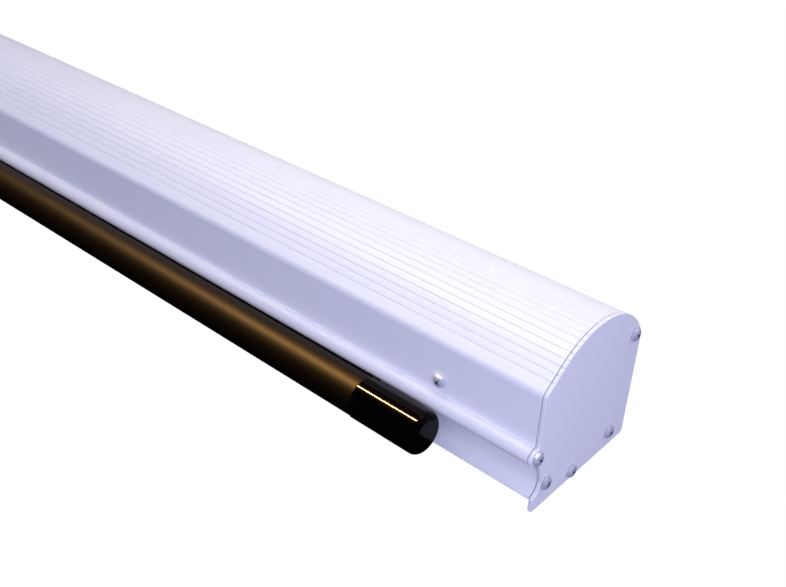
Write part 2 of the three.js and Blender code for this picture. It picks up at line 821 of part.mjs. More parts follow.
function controlHousing() {
  const base = block(boxLeft, boxRight, boxBack, boxFront, boxBottom, boxTop);
  const inside = block(boxLeft + boxWall, boxRight - boxWall, boxBack + boxWall, boxFront + cutOverrun,
    boxBottom + boxWall, boxTop - boxWall);
  const gap = seatGap;
  const socketWindow = block(boxLeft - cutOverrun, boxLeft + boxWall + cutOverrun, socketBack - gap,
    socketBack + socketWidth + gap, socketBottom - gap, socketBottom + socketHeight + gap);
  const leadHole = rod(leadRadius + runningGap, boxRight - boxWall - cutOverrun, boxRight + cutOverrun,
    leadDepth, leadHeight);
  return shaped(base, { cut: [inside, socketWindow, leadHole] });
}

function standOffs() {
  const places = [];
  for (const x of [boardLeft + partInset, boardRight - 2 * partInset]) {
    for (const height of [boardBottom + partInset, boardTop - 2 * partInset]) {
      places.push([x, height]);
    }
  }
  return places;
}

// The board with its four feet, which stand on the housing's back
function controlBoard() {
  const base = block(boardLeft, boardRight, boardBack, boardFront, boardBottom, boardTop);
  const footBack = boardBack - boardStandOff + seatGap;
  const footFront = boardBack + boardThickness / 2;
  const join = standOffs().map(([x, height]) =>
    block(x, x + partInset, footBack, footFront, height, height + partInset));
  return shaped(base, { join });
}

function onBoard(left, length, bottom, height, depth) {
  const foot = boardFront + seatGap;
  return block(left, left + length, foot, foot + depth, bottom, bottom + height);
}

function controlSocket() {
  const body = block(socketLeft, socketLeft + socketLength, socketBack, socketBack + socketWidth,
    socketBottom, socketBottom + socketHeight);
  const cavity = block(socketLeft - cutOverrun, socketLeft + socketCavityDepth,
    socketBack + socketWall, socketBack + socketWidth - socketWall,
    socketBottom + socketWall, socketBottom + socketHeight - socketWall);
  return shaped(body, { cut: [cavity] });
}

// Mains gland: a threaded barrel through the plate with a flange and a domed nose outside
function mainsGland() {
  const flangeFrom = leftEnd - seatGap - glandFlangeThickness;
  const noseEnd = flangeFrom - glandDomeLength;
  const tail = leftEnd + glandTail;
  const profile = [
    [noseEnd, glandBore],
    [noseEnd, glandDomeRadius - glandFlangeThickness / 2],
    [noseEnd + glandFlangeThickness / 2, glandDomeRadius],
    [flangeFrom, glandDomeRadius],
    [flangeFrom, glandFlangeRadius],
    [leftEnd - seatGap, glandFlangeRadius],
    [leftEnd - seatGap, glandRadius],
    [tail, glandRadius],
    [tail, glandBore],
    [noseEnd, glandBore],
  ];
  return turned(profile, glandDepth, glandHeight, smallFacets);
}

// Infrared window: a disc through the front panel with a rim outside
function infraredWindow() {
  const rimFrom = frontDepth + seatGap;
  const tail = frontDepth - wall;
  const profile = [
    [tail, 0], [tail, windowRadius], [rimFrom, windowRadius], [rimFrom, windowFlange],
    [rimFrom + windowProud, windowFlange - windowProud / 2], [rimFrom + windowProud, 0],
  ];
  return placed(turned(profile, 0, 0, smallFacets), windowX, 0, windowHeight, towardFront);
}

function infraredReceiver() {
  const front = frontDepth - wall - seatGap;
  return block(windowX - receiverSize / 2, windowX + receiverSize / 2, front - receiverDepth, front,
    windowHeight - receiverSize / 2, windowHeight + receiverSize / 2);
}

// Motor lead from the hub's face into the control box
const leadDepth = boxFront - boxWall - 2 * leadRadius;
const leadHeight = boxBottom + boxWall + 2 * leadRadius;

function motorLead() {
  const sides = 8;
  const steps = 16;
  const startX = motorWebOuter - motorHubReach - seatGap;
  const endX = boxRight - boxWall - leadEntry;
  const bend = (startX - endX) * leadBendShare;
  const path = new THREE.CubicBezierCurve3(
    new THREE.Vector3(startX, -archCentreDepth, archCentreHeight),
    new THREE.Vector3(startX - bend, -archCentreDepth, archCentreHeight),
    new THREE.Vector3(endX + bend, -leadDepth, leadHeight),
    new THREE.Vector3(endX, -leadDepth, leadHeight));
  const points = circle(0, 0, leadRadius, sides).map(([x, y]) => new THREE.Vector2(x, y));
  return new THREE.ExtrudeGeometry(new THREE.Shape(points), { steps, extrudePath: path });
}

// Assembly
const screen = new THREE.Group();

function add(name, geometry, surface) {
  const mesh = new THREE.Mesh(geometry, surface);
  mesh.name = name;
  screen.add(mesh);
}

function leftPlateOpenings() {
  const outside = leftEnd - cutOverrun;
  const inside = leftEnd + plateThickness + cutOverrun;
  const socketHole = block(outside, inside, socketBack - seatGap, socketBack + socketWidth + seatGap,
    socketBottom - seatGap, socketBottom + socketHeight + seatGap);
  const glandHole = rod(glandRadius + seatGap, outside, inside, glandDepth, glandHeight);
  return [socketHole, glandHole];
}

function addCase() {
  add('case_shell', caseShell(), whitePowderCoat);
  add('end_plate_right', endPlate(rightEnd - plateThickness), whitePowderCoat);
  add('end_plate_left', endPlate(leftEnd, leftPlateOpenings()), whitePowderCoat);
  for (const [name, depth, height] of platePorts) {
    const right = placed(panScrew(), rightEnd + seatGap, depth, height, towardRight);
    const left = placed(panScrew(), leftEnd - seatGap, depth, height, towardLeft);
    add(`plate_screw_right_${name}`, right, screwSteel);
    add(`plate_screw_left_${name}`, left, screwSteel);
  }
  for (const [side, x] of [['right', idlerScrewX], ['left', motorScrewX]]) {
    const screw = panScrew(frontScrewLength);
    add(`front_screw_${side}`,
      placed(screw, x, frontDepth + seatGap, frontScrewHeight, towardFront), screwSteel);
  }
}

function addIdlerEnd() {
  add('idler_bracket',
    bracket(idlerWebInner, idlerWebOuter, idlerWebOuter + bracketFlange, pinRadius + seatGap), zincSteel);
  add('idler_pin', idlerPin(), screwSteel);
  const nutFrom = idlerWebOuter + seatGap;
  const nut = hexNut(nutRadius, pinRadius + seatGap, nutFrom, nutFrom + nutThickness,
    archCentreDepth, archCentreHeight);
  add('idler_pin_nut', nut, zincSteel);
}

function addMotorEnd() {
  const plate = bracket(motorWebInner, motorWebOuter, motorWebOuter - bracketFlange,
    motorHubRadius + seatGap, [-headScrewOffset, headScrewOffset]);
  add('motor_bracket', plate, zincSteel);
  add('motor_head', motorHead(), blackPlastic);
  for (const [name, side] of [['front', 1], ['rear', -1]]) {
    const depth = archCentreDepth + side * headScrewOffset;
    add(`motor_head_screw_${name}`,
      placed(panScrew(), motorWebOuter - seatGap, depth, archCentreHeight, towardLeft), screwSteel);
  }
  add('limit_screw_up', limitScrew(1), whitePlastic);
  add('limit_screw_down', limitScrew(-1), relayBlue);
  const bore = motorRadius - motorWall;
  add('motor_housing', rollerRing(bore, motorRadius, motorHeadRight + seatGap, motorRight), zincSteel);
  const packed = bore - seatGap;
  add('motor_gearbox', rollerRod(packed, gearboxLeft, gearboxRight), zincSteel);
  add('motor_core', rollerRod(packed, coreLeft, coreRight), zincSteel);
  add('motor_capacitor', rollerRod(packed, capacitorRight - capacitorLength, capacitorRight), greyPlastic);
  add('motor_lead', motorLead(), blackPlastic);
}

function addRoller() {
  add('roller_tube', rollerRing(rollerBore, rollerRadius, tubeLeft, tubeRight), bareAluminium);
  add('fabric_roll', rollerRing(woundInner, woundRadius, fabricLeft, fabricRight), blackFabric);
  add('idler_plug', idlerPlug(), whitePlastic);
  const bearing = rollerRing(pinRadius + seatGap, bearingRadius, bearingFrom, bearingTo, smallFacets);
  add('idler_bearing', bearing, zincSteel);
  add('output_shaft', flattedShaft(shaftRadius, shaftFrom, shaftTo), zincSteel);
  add('drive_wheel', driveWheel(), whitePlastic);
  const crownRadius = rollerBore - seatGap;
  const crown = rollerRing(crownRadius - crownWall, crownRadius, tubeLeft, tubeLeft + crownLength);
  add('crown_ring', crown, whitePlastic);
}

function addFabric() {
  add('fabric_feed', fabricStrip(feedPath()), blackFabric);
  const drop = [[dropDepth, dropTop], [dropDepth, dropTop - dropLength]];
  add('fabric_drop', fabricStrip(drop), blackFabric);
}

function addWeightBar() {
  const alongBar = (inner, outer) => ring(inner, outer, fabricLeft, fabricRight, barDepth, barHeight);
  add('weight_bar', alongBar(barRadius - barWall, barRadius), zincSteel);
  add('bar_hem', alongBar(barRadius + seatGap, sleeveRadius), barBlack);
  add('bar_cap_right', barCap(1), glossBlack);
  add('bar_cap_left', barCap(-1), glossBlack);
}

function addControls() {
  const lidBack = boxFront + seatGap;
  const lid = block(boxLeft, boxRight, lidBack, lidBack + lidThickness, boxBottom, boxTop);
  add('control_housing', controlHousing(), blackPlastic);
  add('control_lid', lid, blackPlastic);
  add('control_board', controlBoard(), boardGreen);
  add('control_socket', controlSocket(), blackPlastic);
  const low = boardBottom + partInset;
  const first = boardLeft + partInset;
  const second = first + relayLength + partInset;
  add('relay_up', onBoard(first, relayLength, low, relayWidth, relayHeight), relayBlue);
  add('relay_down', onBoard(second, relayLength, low, relayWidth, relayHeight), relayBlue);
  const coilLeft = boardRight - partInset - transformerLength;
  const coilBottom = boardTop - partInset - transformerWidth;
  const coil = onBoard(coilLeft, transformerLength, coilBottom, transformerWidth, transformerHeight);
  add('board_transformer', coil, blackPlastic);
  const clampLeft = boardRight - partInset - terminalLength;
  const clamp = onBoard(clampLeft, terminalLength, low, terminalWidth, terminalHeight);
  add('terminal_block', clamp, greyPlastic);
  add('mains_gland', mainsGland(), blackPlastic);
  const nutFrom = leftEnd + plateThickness + seatGap;
  const nut = hexNut(glandNutRadius, glandRadius + seatGap, nutFrom, nutFrom + glandNutThickness,
    glandDepth, glandHeight);
  add('mains_gland_nut', nut, blackPlastic);
  add('infrared_window', infraredWindow(), windowRed);
  add('infrared_receiver', infraredReceiver(), blackPlastic);
}

addCase();
addIdlerEnd();
addMotorEnd();
addRoller();
addFabric();
addWeightBar();
addControls();
screen.position.z = -originHeight;

export default screen;
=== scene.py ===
import math

import bmesh
import bpy
from mathutils import Matrix, Vector


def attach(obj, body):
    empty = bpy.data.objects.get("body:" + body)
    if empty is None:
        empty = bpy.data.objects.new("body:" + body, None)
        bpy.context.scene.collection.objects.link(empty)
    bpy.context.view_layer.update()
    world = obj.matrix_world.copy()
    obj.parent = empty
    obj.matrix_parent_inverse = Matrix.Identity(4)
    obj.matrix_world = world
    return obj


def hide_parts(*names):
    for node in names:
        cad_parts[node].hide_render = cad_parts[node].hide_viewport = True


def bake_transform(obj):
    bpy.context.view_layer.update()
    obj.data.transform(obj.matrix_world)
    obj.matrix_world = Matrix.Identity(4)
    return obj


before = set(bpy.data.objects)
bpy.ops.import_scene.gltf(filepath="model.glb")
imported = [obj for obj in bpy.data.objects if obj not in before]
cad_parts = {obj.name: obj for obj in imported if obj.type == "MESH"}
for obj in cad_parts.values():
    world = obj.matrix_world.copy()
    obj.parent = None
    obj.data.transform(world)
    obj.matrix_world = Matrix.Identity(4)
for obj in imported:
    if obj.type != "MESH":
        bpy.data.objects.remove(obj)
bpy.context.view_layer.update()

# sizes, in millimetres
MM = 0.001

# Case section: depth from the wall, height above the end plates' foot
WALL = 1.6
ARCH_RADIUS = 43.9
ARCH_BACK_TRIM = 4.7
ARCH = (ARCH_RADIUS - ARCH_BACK_TRIM, 38.4)
SLOPE_ANGLE = math.radians(38.7)
SLOPE_RUN = 11.25
FRONT_DEPTH = ARCH[0] + ARCH_RADIUS * math.sin(SLOPE_ANGLE) + SLOPE_RUN
CORNER_RADIUS = 4.2
BACK_CORNER_RADIUS = 2.3
INNER_CORNER_RADIUS = 0.7

# Rail, cove and lip under the front panel
RAIL_RADIUS = 4.2
RAIL = (FRONT_DEPTH + 1.1, 31.9)
COVE_RADIUS = 8
COVE = (FRONT_DEPTH + 2.5, 14.1)
COVE_BACK = COVE[0] - COVE_RADIUS
COVE_WALL_TOP = 26.5
LIP_DEPTH = COVE[0] - 2.8
FLOOR_FRONT = 66
NOSE_BACK_HEIGHT = 12

# Grooves of the extrusion
GROOVES = 12
GROOVE_PITCH = 3.8
GROOVE_WIDTH = 1.0
GROOVE_DEPTH = 0.45
FIRST_GROOVE = 6.6

# Ends
RIGHT_END = 1242
LEFT_END = -1242
PLATE = 2.0
PLATE_GAP = 0.4
PLATE_PROUD = 0.3
PLATE_ROUND = 0.45
PLATE_FOOT = -1.1
PLATE_TAB = LIP_DEPTH + 0.3
PLATE_CORNER_RADIUS = 1.4
PLATE_COVE_SLOPE = (3.4, 2.5)
SEAT_GAP = 0.2
SHELL_EDGE = 0.18

# Row frame: the origin is the middle of the flat back
BACK_TOP = ARCH[1] + math.sqrt(ARCH_RADIUS ** 2 - ARCH[0] ** 2)
ORIGIN_HEIGHT = (BACK_CORNER_RADIUS + BACK_TOP) / 2

# Facets
FINE = math.radians(2)
SMALL = math.radians(9)


def place(x, depth, height):
    """A point of the row frame, in metres, from millimetres along the case, out from the wall and up."""
    return Vector((x * MM, -depth * MM, (height - ORIGIN_HEIGHT) * MM))


# camera, solved from the photograph: metres in the row frame, lens and sensor in millimetres
CAMERA_PLACE = (1.4022, -0.3650, 0.2853)
CAMERA_RIGHT = (0.745, 0.666, 0.035)
CAMERA_AHEAD = (-0.549, 0.642, -0.535)
FOCAL_LENGTH = 45.61
SENSOR_WIDTH = 36


def look(location, right, forward, lens):
    """A camera with its own roll: the picture's right and the way it looks, both in the row frame."""
    ahead = Vector(forward).normalized()
    side = Vector(right)
    side = (side - ahead * side.dot(ahead)).normalized()
    up = side.cross(ahead)
    data = bpy.data.cameras.new("camera")
    data.sensor_fit = "HORIZONTAL"
    data.sensor_width = SENSOR_WIDTH
    data.lens = lens
    data.clip_start = 0.01
    camera = bpy.data.objects.new("camera", data)
    bpy.context.scene.collection.objects.link(camera)
    turn = Matrix((side, up, -ahead)).transposed().to_4x4()
    camera.matrix_world = Matrix.Translation(location) @ turn
    bpy.context.scene.camera = camera


look(CAMERA_PLACE, CAMERA_RIGHT, CAMERA_AHEAD, FOCAL_LENGTH)


# nodes and colours
def linear(code):
    """An sRGB hex colour as the linear colour that the shaders take."""
    parts = [int(code[i:i + 2], 16) / 255 for i in (1, 3, 5)]
    return tuple(c / 12.92 if c <= 0.04045 else ((c + 0.055) / 1.055) ** 2.4 for c in parts) + (1.0,)


def add(tree, kind, inputs=(), **settings):
    """Adds a node to a tree, with its settings and with values or links for its sockets."""
    made = tree.nodes.new(kind)
    for name, value in settings.items():
        setattr(made, name, value)
    for socket, value in dict(inputs).items():
        if isinstance(value, bpy.types.NodeSocket):
            tree.links.new(value, made.inputs[socket])
        else:
            made.inputs[socket].default_value = value
    return made


def material(name):
    """An empty material: its node tree, its shader and its Object coordinates."""
    made = bpy.data.materials.new(name)
    made.use_nodes = True
    tree = made.node_tree
    tree.nodes.clear()
    shader = add(tree, "ShaderNodeBsdfPrincipled")
    add(tree, "ShaderNodeOutputMaterial", {"Surface": shader.outputs[0]})
    place_on_piece = add(tree, "ShaderNodeTexCoord").outputs["Object"]
    return made, tree, shader, place_on_piece


def two_tone(tree, share, shade, colour):
    """A colour between two."""
    mix = add(tree, "ShaderNodeMix", {0: share, 6: linear(shade), 7: linear(colour)}, data_type="RGBA")
    return mix.outputs[2]


def roughen(tree, shader, share, roughness, spread):
    rough = add(tree, "ShaderNodeMapRange", {"Value": share, "To Min": roughness - spread,
                                             "To Max": roughness + spread})
    tree.links.new(rough.outputs[0], shader.inputs["Roughness"])


def emboss(tree, shader, share, height):
    """Relief on the shader, its height in millimetres."""
    bump = add(tree, "ShaderNodeBump", {"Height": share, "Distance": height * MM})
    tree.links.new(bump.outputs[0], shader.inputs["Normal"])


def surface(name, colour, shade, patch, roughness, spread, grain, height, **sockets):
    """A finish with clouds of two colours, a roughness that wanders and a fine grain.
    patch, grain and height are real sizes in millimetres."""
    made, tree, shader, where = material(name)
    clouds = add(tree, "ShaderNodeTexNoise", {"Vector": where, "Scale": 1 / (patch * MM), "Detail": 3.0})
    tree.links.new(two_tone(tree, clouds.outputs["Fac"], shade, colour), shader.inputs["Base Color"])
    roughen(tree, shader, clouds.outputs["Fac"], roughness, spread)
    grains = add(tree, "ShaderNodeTexNoise", {"Vector": where, "Scale": 1 / (grain * MM), "Detail": 2.0})
    emboss(tree, shader, grains.outputs["Fac"], height)
    for socket, value in sockets.items():
        shader.inputs[socket.replace("_", " ")].default_value = value
    return made


# Drawn lines: how much longer than wide, as a share, and how far their roughness wanders
LINE_STRETCH = 0.02
LINE_SPREAD = 0.06


def brushed(name, colour, shade, roughness, stretch, line, height, metallic=1.0):
    """Metal with fine lines drawn out along stretch, one axis of the piece.
    line and height are in millimetres."""
    made, tree, shader, where = material(name)
    scale = [1 / (line * MM)] * 3
    scale[stretch] *= LINE_STRETCH
    lines = add(tree, "ShaderNodeMapping", {"Vector": where, "Scale": scale}, vector_type="POINT")
    streaks = add(tree, "ShaderNodeTexNoise", {"Vector": lines.outputs[0], "Scale": 1.0, "Detail": 3.0})
    tree.links.new(two_tone(tree, streaks.outputs["Fac"], shade, colour), shader.inputs["Base Color"])
    roughen(tree, shader, streaks.outputs["Fac"], roughness, LINE_SPREAD)
    emboss(tree, shader, streaks.outputs["Fac"], height)
    shader.inputs["Metallic"].default_value = metallic
    return made


# Polyester powder coat, sprayed dry on the aluminium and baked: it flows out to a satin skin with a faint
# orange peel of about 1.5 mm, so lamps show in it as soft streaks.
powder_coat = surface("satin white powder coat", "#ECEDF7", "#EAEBF6", 60, 0.48, 0.01, 1.6, 0.003,
                      IOR=1.12)

# The same powder on the steel end plates, a little flatter because their thin sheet bakes hotter.
plate_coat = surface("satin white powder coat on steel", "#E9EAF5", "#E7E8F4", 45, 0.48, 0.01, 1.4, 0.003,
                     IOR=1.12)

# Zinc-plated steel, barrel tumbled: grey with soft spots; the cross recesses take the painted shade below.
screw_zinc = surface("zinc plated screw steel", "#D2D3E6", "#C4C5DB", 1.1, 0.4, 0.05, 0.5, 0.01, Metallic=0.3)

# Painted shade in the cross recess: a dull dark grey standing in for the shadow inside the cross.
recess_painted_shade = surface("painted shade in the cross recess", "#555666", "#454655", 0.8, 0.7, 0.05, 0.3, 0.01,
                      Specular_IOR_Level=0.2)

# Hot-dip galvanised sheet: crystals of zinc some 6 mm across, each in its own grey.
zinc_sheet = surface("galvanised steel sheet", "#B4B8C0", "#8E939D", 6, 0.42, 0.08, 0.8, 0.01, Metallic=1.0)

# Drawn aluminium tube: die lines along its length.
tube_metal = brushed("drawn aluminium", "#C6C9CE", "#AEB1B8", 0.38, 0, 0.6, 0.006)

# Black PVC coated cloth pulled tight round the bar: a close satin skin, whose shine looks brown in the
# photograph.
hem_cloth = surface("black coated hem cloth", "#040303", "#030302", 25, 0.48, 0.02, 0.35, 0.006,
                    Specular_Tint=linear("#E0AA5A"), IOR=1.18)

# Coated glass-fibre cloth, black through and matt, with a fine weave that shows at arm's length.
back_cloth = surface("black coated screen cloth", "#141312", "#0B0A0A", 30, 0.7, 0.03, 0.8, 0.01)

# Gold-flashed phosphor bronze: thin, bright and yellow.
gilt = surface("gilt contact wire", "#D9B45A", "#C59C43", 2, 0.25, 0.03, 0.6, 0.002, Metallic=1.0)

# Moulded ABS with a polished tool face: a near mirror, with a slight warm cast.
cap_plastic = surface("polished black ABS", "#040303", "#030202", 20, 0.11, 0.02, 3.0, 0.002,
                      Specular_Tint=linear("#D9A468"), IOR=1.15, Coat_Weight=0.03,
                      Coat_Roughness=0.05)

# Moulded nylon and ABS with a spark-eroded tool face, a fine matt grain.
black_moulding = surface("black moulded nylon", "#1D1D1F", "#161618", 12, 0.5, 0.05, 0.4, 0.02)
white_moulding = surface("white moulded nylon", "#E6E5DF", "#DCDAD2", 12, 0.45, 0.05, 0.5, 0.02)
grey_moulding = surface("grey moulded polyamide", "#55585C", "#484B4F", 12, 0.5, 0.05, 0.4, 0.02)
blue_moulding = surface("blue moulded polyester", "#2A4F8F", "#234276", 12, 0.45, 0.05, 0.4, 0.02)

# Fibreglass board under green solder lacquer.
board = surface("green solder lacquer", "#1F5A38", "#17482C", 3, 0.35, 0.05, 0.6, 0.02)

# Cast acrylic dyed so dark a red that only infrared passes.
window_acrylic = surface("dark red acrylic", "#2A0A10", "#1E060B", 8, 0.08, 0.01, 4.0, 0.001)


# outlines, as lists of (depth, height)
def arc(centre, radius, start, end, step=FINE):
    count = max(math.ceil(abs(end - start) / step), 1)
    angles = [start + (end - start) * i / count for i in range(count + 1)]
    return [(centre[0] + radius * math.cos(a), centre[1] + radius * math.sin(a)) for a in angles]


def rounded(before, corner, after, radius):
    """The corner between two straight runs, rounded to a radius."""
    b = Vector(corner)
    to_a = (Vector(before) - b).normalized()
    to_c = (Vector(after) - b).normalized()
    half = math.acos(max(-1.0, min(1.0, to_a.dot(to_c)))) / 2
    centre = b + (to_a + to_c).normalized() * radius / math.sin(half)
    start = b + to_a * radius / math.tan(half) - centre
    end = b + to_c * radius / math.tan(half) - centre
    begin = math.atan2(start.y, start.x)
    turn = math.atan2(end.y, end.x) - begin
    turn = (turn + math.pi) % (2 * math.pi) - math.pi
    return arc(centre, radius, begin, begin + turn, SMALL)


# Across a groove: share of its width from the middle, and share of its depth
GROOVE_SECTION = ((-0.62, 0.0), (-0.5, 0.06), (-0.36, 0.5), (-0.2, 0.92), (0.0, 1.0),
                  (0.2, 0.92), (0.36, 0.5), (0.5, 0.06), (0.62, 0.0))
PLAIN_GROOVE = ((-0.5, 0.0), (0.0, 1.0), (0.5, 0.0))
SLOPE = SLOPE_RUN / math.cos(SLOPE_ANGLE)


def roof_angle(run):
    """Turn of the arch at a way up along the slope and the arch."""
    return math.pi / 2 - SLOPE_ANGLE + (run - SLOPE) / ARCH_RADIUS


def roof_point(run, sink):
    """Point a way up along the slope and the arch, sunk below their surface."""
    radius = ARCH_RADIUS - sink
    angle = roof_angle(max(run, SLOPE))
    before = max(SLOPE - run, 0)
    return (ARCH[0] + radius * math.cos(angle) + before * math.cos(SLOPE_ANGLE),
            ARCH[1] + radius * math.sin(angle) - before * math.sin(SLOPE_ANGLE))


def case_outline(inset, panel_foot, back_foot, groove=()):
    """Front panel, slope, arch and back of the case, from the panel's foot to the back wall's foot."""
    radius = ARCH_RADIUS - inset
    slope_top = (ARCH[0] + radius * math.sin(SLOPE_ANGLE), ARCH[1] + radius * math.cos(SLOPE_ANGLE))
    front = FRONT_DEPTH - inset
    corner = (front, slope_top[1] - (front - slope_top[0]) * math.tan(SLOPE_ANGLE))
    corner_radius = max(CORNER_RADIUS - inset, INNER_CORNER_RADIUS)
    outline = [(front, panel_foot)] + rounded((front, panel_foot), corner, slope_top, corner_radius)
    last = SLOPE
    for i in range(GROOVES if groove else 0):
        middle = FIRST_GROOVE + i * GROOVE_PITCH
        outline += [roof_point(middle + x * GROOVE_WIDTH, inset + y * GROOVE_DEPTH) for x, y in groove]
        last = middle + GROOVE_PITCH / 2
        outline.append(roof_point(last, inset))
    arch_end = math.acos((inset - ARCH[0]) / radius)
    outline += arc(ARCH, radius, roof_angle(max(last, SLOPE)), arch_end)[1 if groove else 0:]
    return outline + [(inset, back_foot)]


def rail_angle(depth, radius):
    return math.acos((depth - RAIL[0]) / radius)


def rail_height(depth, radius):
    return RAIL[1] + radius * math.sin(rail_angle(depth, radius))


def cove_arc(from_depth, step):
    """The cove, from a depth on its lower front to its deepest place."""
    start = -math.pi / 2 - math.asin((COVE[0] - from_depth) / COVE_RADIUS)
    return arc(COVE, COVE_RADIUS, start, -math.pi, step)


def shell_outline():
    """The extrusion's whole section, round its outside and back along its inside."""
    panel_back = FRONT_DEPTH - WALL
    outer = case_outline(0, rail_height(FRONT_DEPTH, RAIL_RADIUS), BACK_CORNER_RADIUS, GROOVE_SECTION)
    inner = case_outline(WALL, rail_height(panel_back, RAIL_RADIUS), WALL)[::-1]
    back_corner = rounded((0, ARCH[1]), (0, 0), (FLOOR_FRONT, 0), BACK_CORNER_RADIUS)
    cove = cove_arc(LIP_DEPTH - WALL / 2, FINE)
    lip = arc((cove[0][0], cove[0][1] - WALL / 2), WALL / 2, -math.pi / 2, math.pi / 2, SMALL)
    wall_top = arc((COVE_BACK - WALL / 2, COVE_WALL_TOP - WALL / 2), WALL / 2, 0, math.pi, SMALL)
    nose = [(COVE_BACK - WALL, NOSE_BACK_HEIGHT), (FLOOR_FRONT, WALL)]
    rail = arc(RAIL, RAIL_RADIUS, rail_angle(panel_back, RAIL_RADIUS),
               2 * math.pi + rail_angle(FRONT_DEPTH, RAIL_RADIUS))
    outside = outer[:-1] + back_corner + [(FLOOR_FRONT, 0)] + lip + cove[1:]
    return outside + wall_top + nose + inner + rail[1:-1]


def plate_outline():
    """The end plates' outline: it carries on the grooves, stands proud over the top and reaches below."""
    radius = RAIL_RADIUS + PLATE_PROUD
    panel = FRONT_DEPTH + PLATE_PROUD
    case = case_outline(-PLATE_PROUD, rail_height(panel, radius), BACK_CORNER_RADIUS, PLAIN_GROOVE)
    over = [p for p in case if p[0] > 0]
    back_top = ARCH[1] + math.sqrt((ARCH_RADIUS + PLATE_PROUD) ** 2 - ARCH[0] ** 2)
    back_foot, tab_foot = (0, PLATE_FOOT), (PLATE_TAB, PLATE_FOOT)
    cove = cove_arc(PLATE_TAB, SMALL)
    back_corner = rounded((0, back_top), back_foot, tab_foot, BACK_CORNER_RADIUS)
    front_corner = rounded(back_foot, tab_foot, cove[0], PLATE_CORNER_RADIUS)
    rail_foot = (COVE_BACK + PLATE_COVE_SLOPE[0], RAIL[1] - RAIL_RADIUS - PLATE_COVE_SLOPE[1])
    rail = arc(RAIL, radius, -math.pi / 2, rail_angle(panel, radius), SMALL)
    return over + [(0, back_top)] + back_corner + front_corner + cove + [rail_foot] + rail[:-1]


# meshes
def prism(outline, start, end):
    """A closed solid, an outline drawn out along the case."""
    mesh = bmesh.new()
    ends = [[mesh.verts.new(place(x, depth, height)) for depth, height in outline] for x in (start, end)]
    count = len(outline)
    for i in range(count):
        j = (i + 1) % count
        mesh.faces.new((ends[0][i], ends[0][j], ends[1][j], ends[1][i]))
    mesh.faces.new(ends[0][::-1])
    mesh.faces.new(ends[1])
    return closed(mesh)


def shrunk(outline, inset):
    """An outline drawn in by the same distance all round."""
    area = sum(a[0] * b[1] - b[0] * a[1] for a, b in zip(outline, outline[1:] + outline[:1]))
    side = 1 if area > 0 else -1
    made = []
    for before, here, after in zip(outline[-1:] + outline[:-1], outline, outline[1:] + outline[:1]):
        one = (Vector(here) - Vector(before)).normalized()
        two = (Vector(after) - Vector(here)).normalized()
        inward = Vector((-one.y - two.y, one.x + two.x)).normalized() * side
        cosine = max(abs(inward.dot(Vector((-one.y, one.x)))), 0.2)
        made.append(tuple(Vector(here) + inward * inset / cosine))
    return made


def edged(outline, start, end, edge, steps):
    """A prism whose end edges are rounded to a radius, also along the grooves."""
    turns = [math.pi / 2 * i / steps for i in range(steps + 1)]
    rims = [(edge * (1 - math.sin(a)), edge * (1 - math.cos(a))) for a in turns]
    stations = [(start + along, inset) for inset, along in rims]
    stations += [(end - along, inset) for inset, along in rims[::-1]]
    mesh = bmesh.new()
    rows = []
    for x, inset in stations:
        row = shrunk(outline, inset) if inset > 0 else outline
        rows.append([mesh.verts.new(place(x, depth, height)) for depth, height in row])
    for low, high in zip(rows, rows[1:]):
        for i in range(len(outline)):
            mesh.faces.new((low[i - 1], low[i], high[i], high[i - 1]))
    mesh.faces.new(rows[0][::-1])
    mesh.faces.new(rows[-1])
    return closed(mesh)


def turned(profile, centre, facets=96, axis="X"):
    """A closed solid, a profile of (distance along, radius) turned about an axis through centre.
    The axis is X, or Y pointing out at the viewers. A radius of zero is a pole."""
    mesh = bmesh.new()
    rows = []
    for along, radius in profile:
        row = []
        for i in range(facets if radius > 0 else 1):
            a = 2 * math.pi * i / facets
            side = Vector((radius * math.cos(a), radius * math.sin(a)))
            point = Vector((along, side.x, side.y)) if axis == "X" else Vector((side.x, -along, side.y))
            row.append(mesh.verts.new(centre + point * MM))
        rows.append(row)
    for low, high in zip(rows, rows[1:]):
        for i in range(facets):
            j = (i + 1) % facets
            corners = [low[i % len(low)], low[j % len(low)], high[j % len(high)], high[i % len(high)]]
            mesh.faces.new(list(dict.fromkeys(corners)))
    return closed(mesh)


def closed(mesh):
    """Merges the doubles of a bmesh, turns its faces outwards and gives it as a mesh."""
    bmesh.ops.remove_doubles(mesh, verts=mesh.verts, dist=1e-7)
    bmesh.ops.recalc_face_normals(mesh, faces=mesh.faces)
    made = bpy.data.meshes.new("solid")
    mesh.to_mesh(made)
    mesh.free()
    return made


def scratch(mesh):
    """A working object that never shows."""
    made = bpy.data.objects.new("working", mesh)
    bpy.context.scene.collection.objects.link(made)
    return made


def baked(worker):
    """The working object's mesh with its modifiers applied."""
    bpy.context.view_layer.update()
    mesh = bpy.data.meshes.new_from_object(worker.evaluated_get(bpy.context.evaluated_depsgraph_get()))
    bpy.data.objects.remove(worker)
    return mesh


def combined(base, others, operation):
    """A mesh with other closed meshes joined to it or cut from it."""
    worker = scratch(base)
    tools = [scratch(m) for m in others]
    for tool in tools:
        step = worker.modifiers.new("step", "BOOLEAN")
        step.object = tool
        step.operation = operation
        step.solver = "EXACT"
    mesh = baked(worker)
    for tool in tools:
        bpy.data.objects.remove(tool)
    return mesh


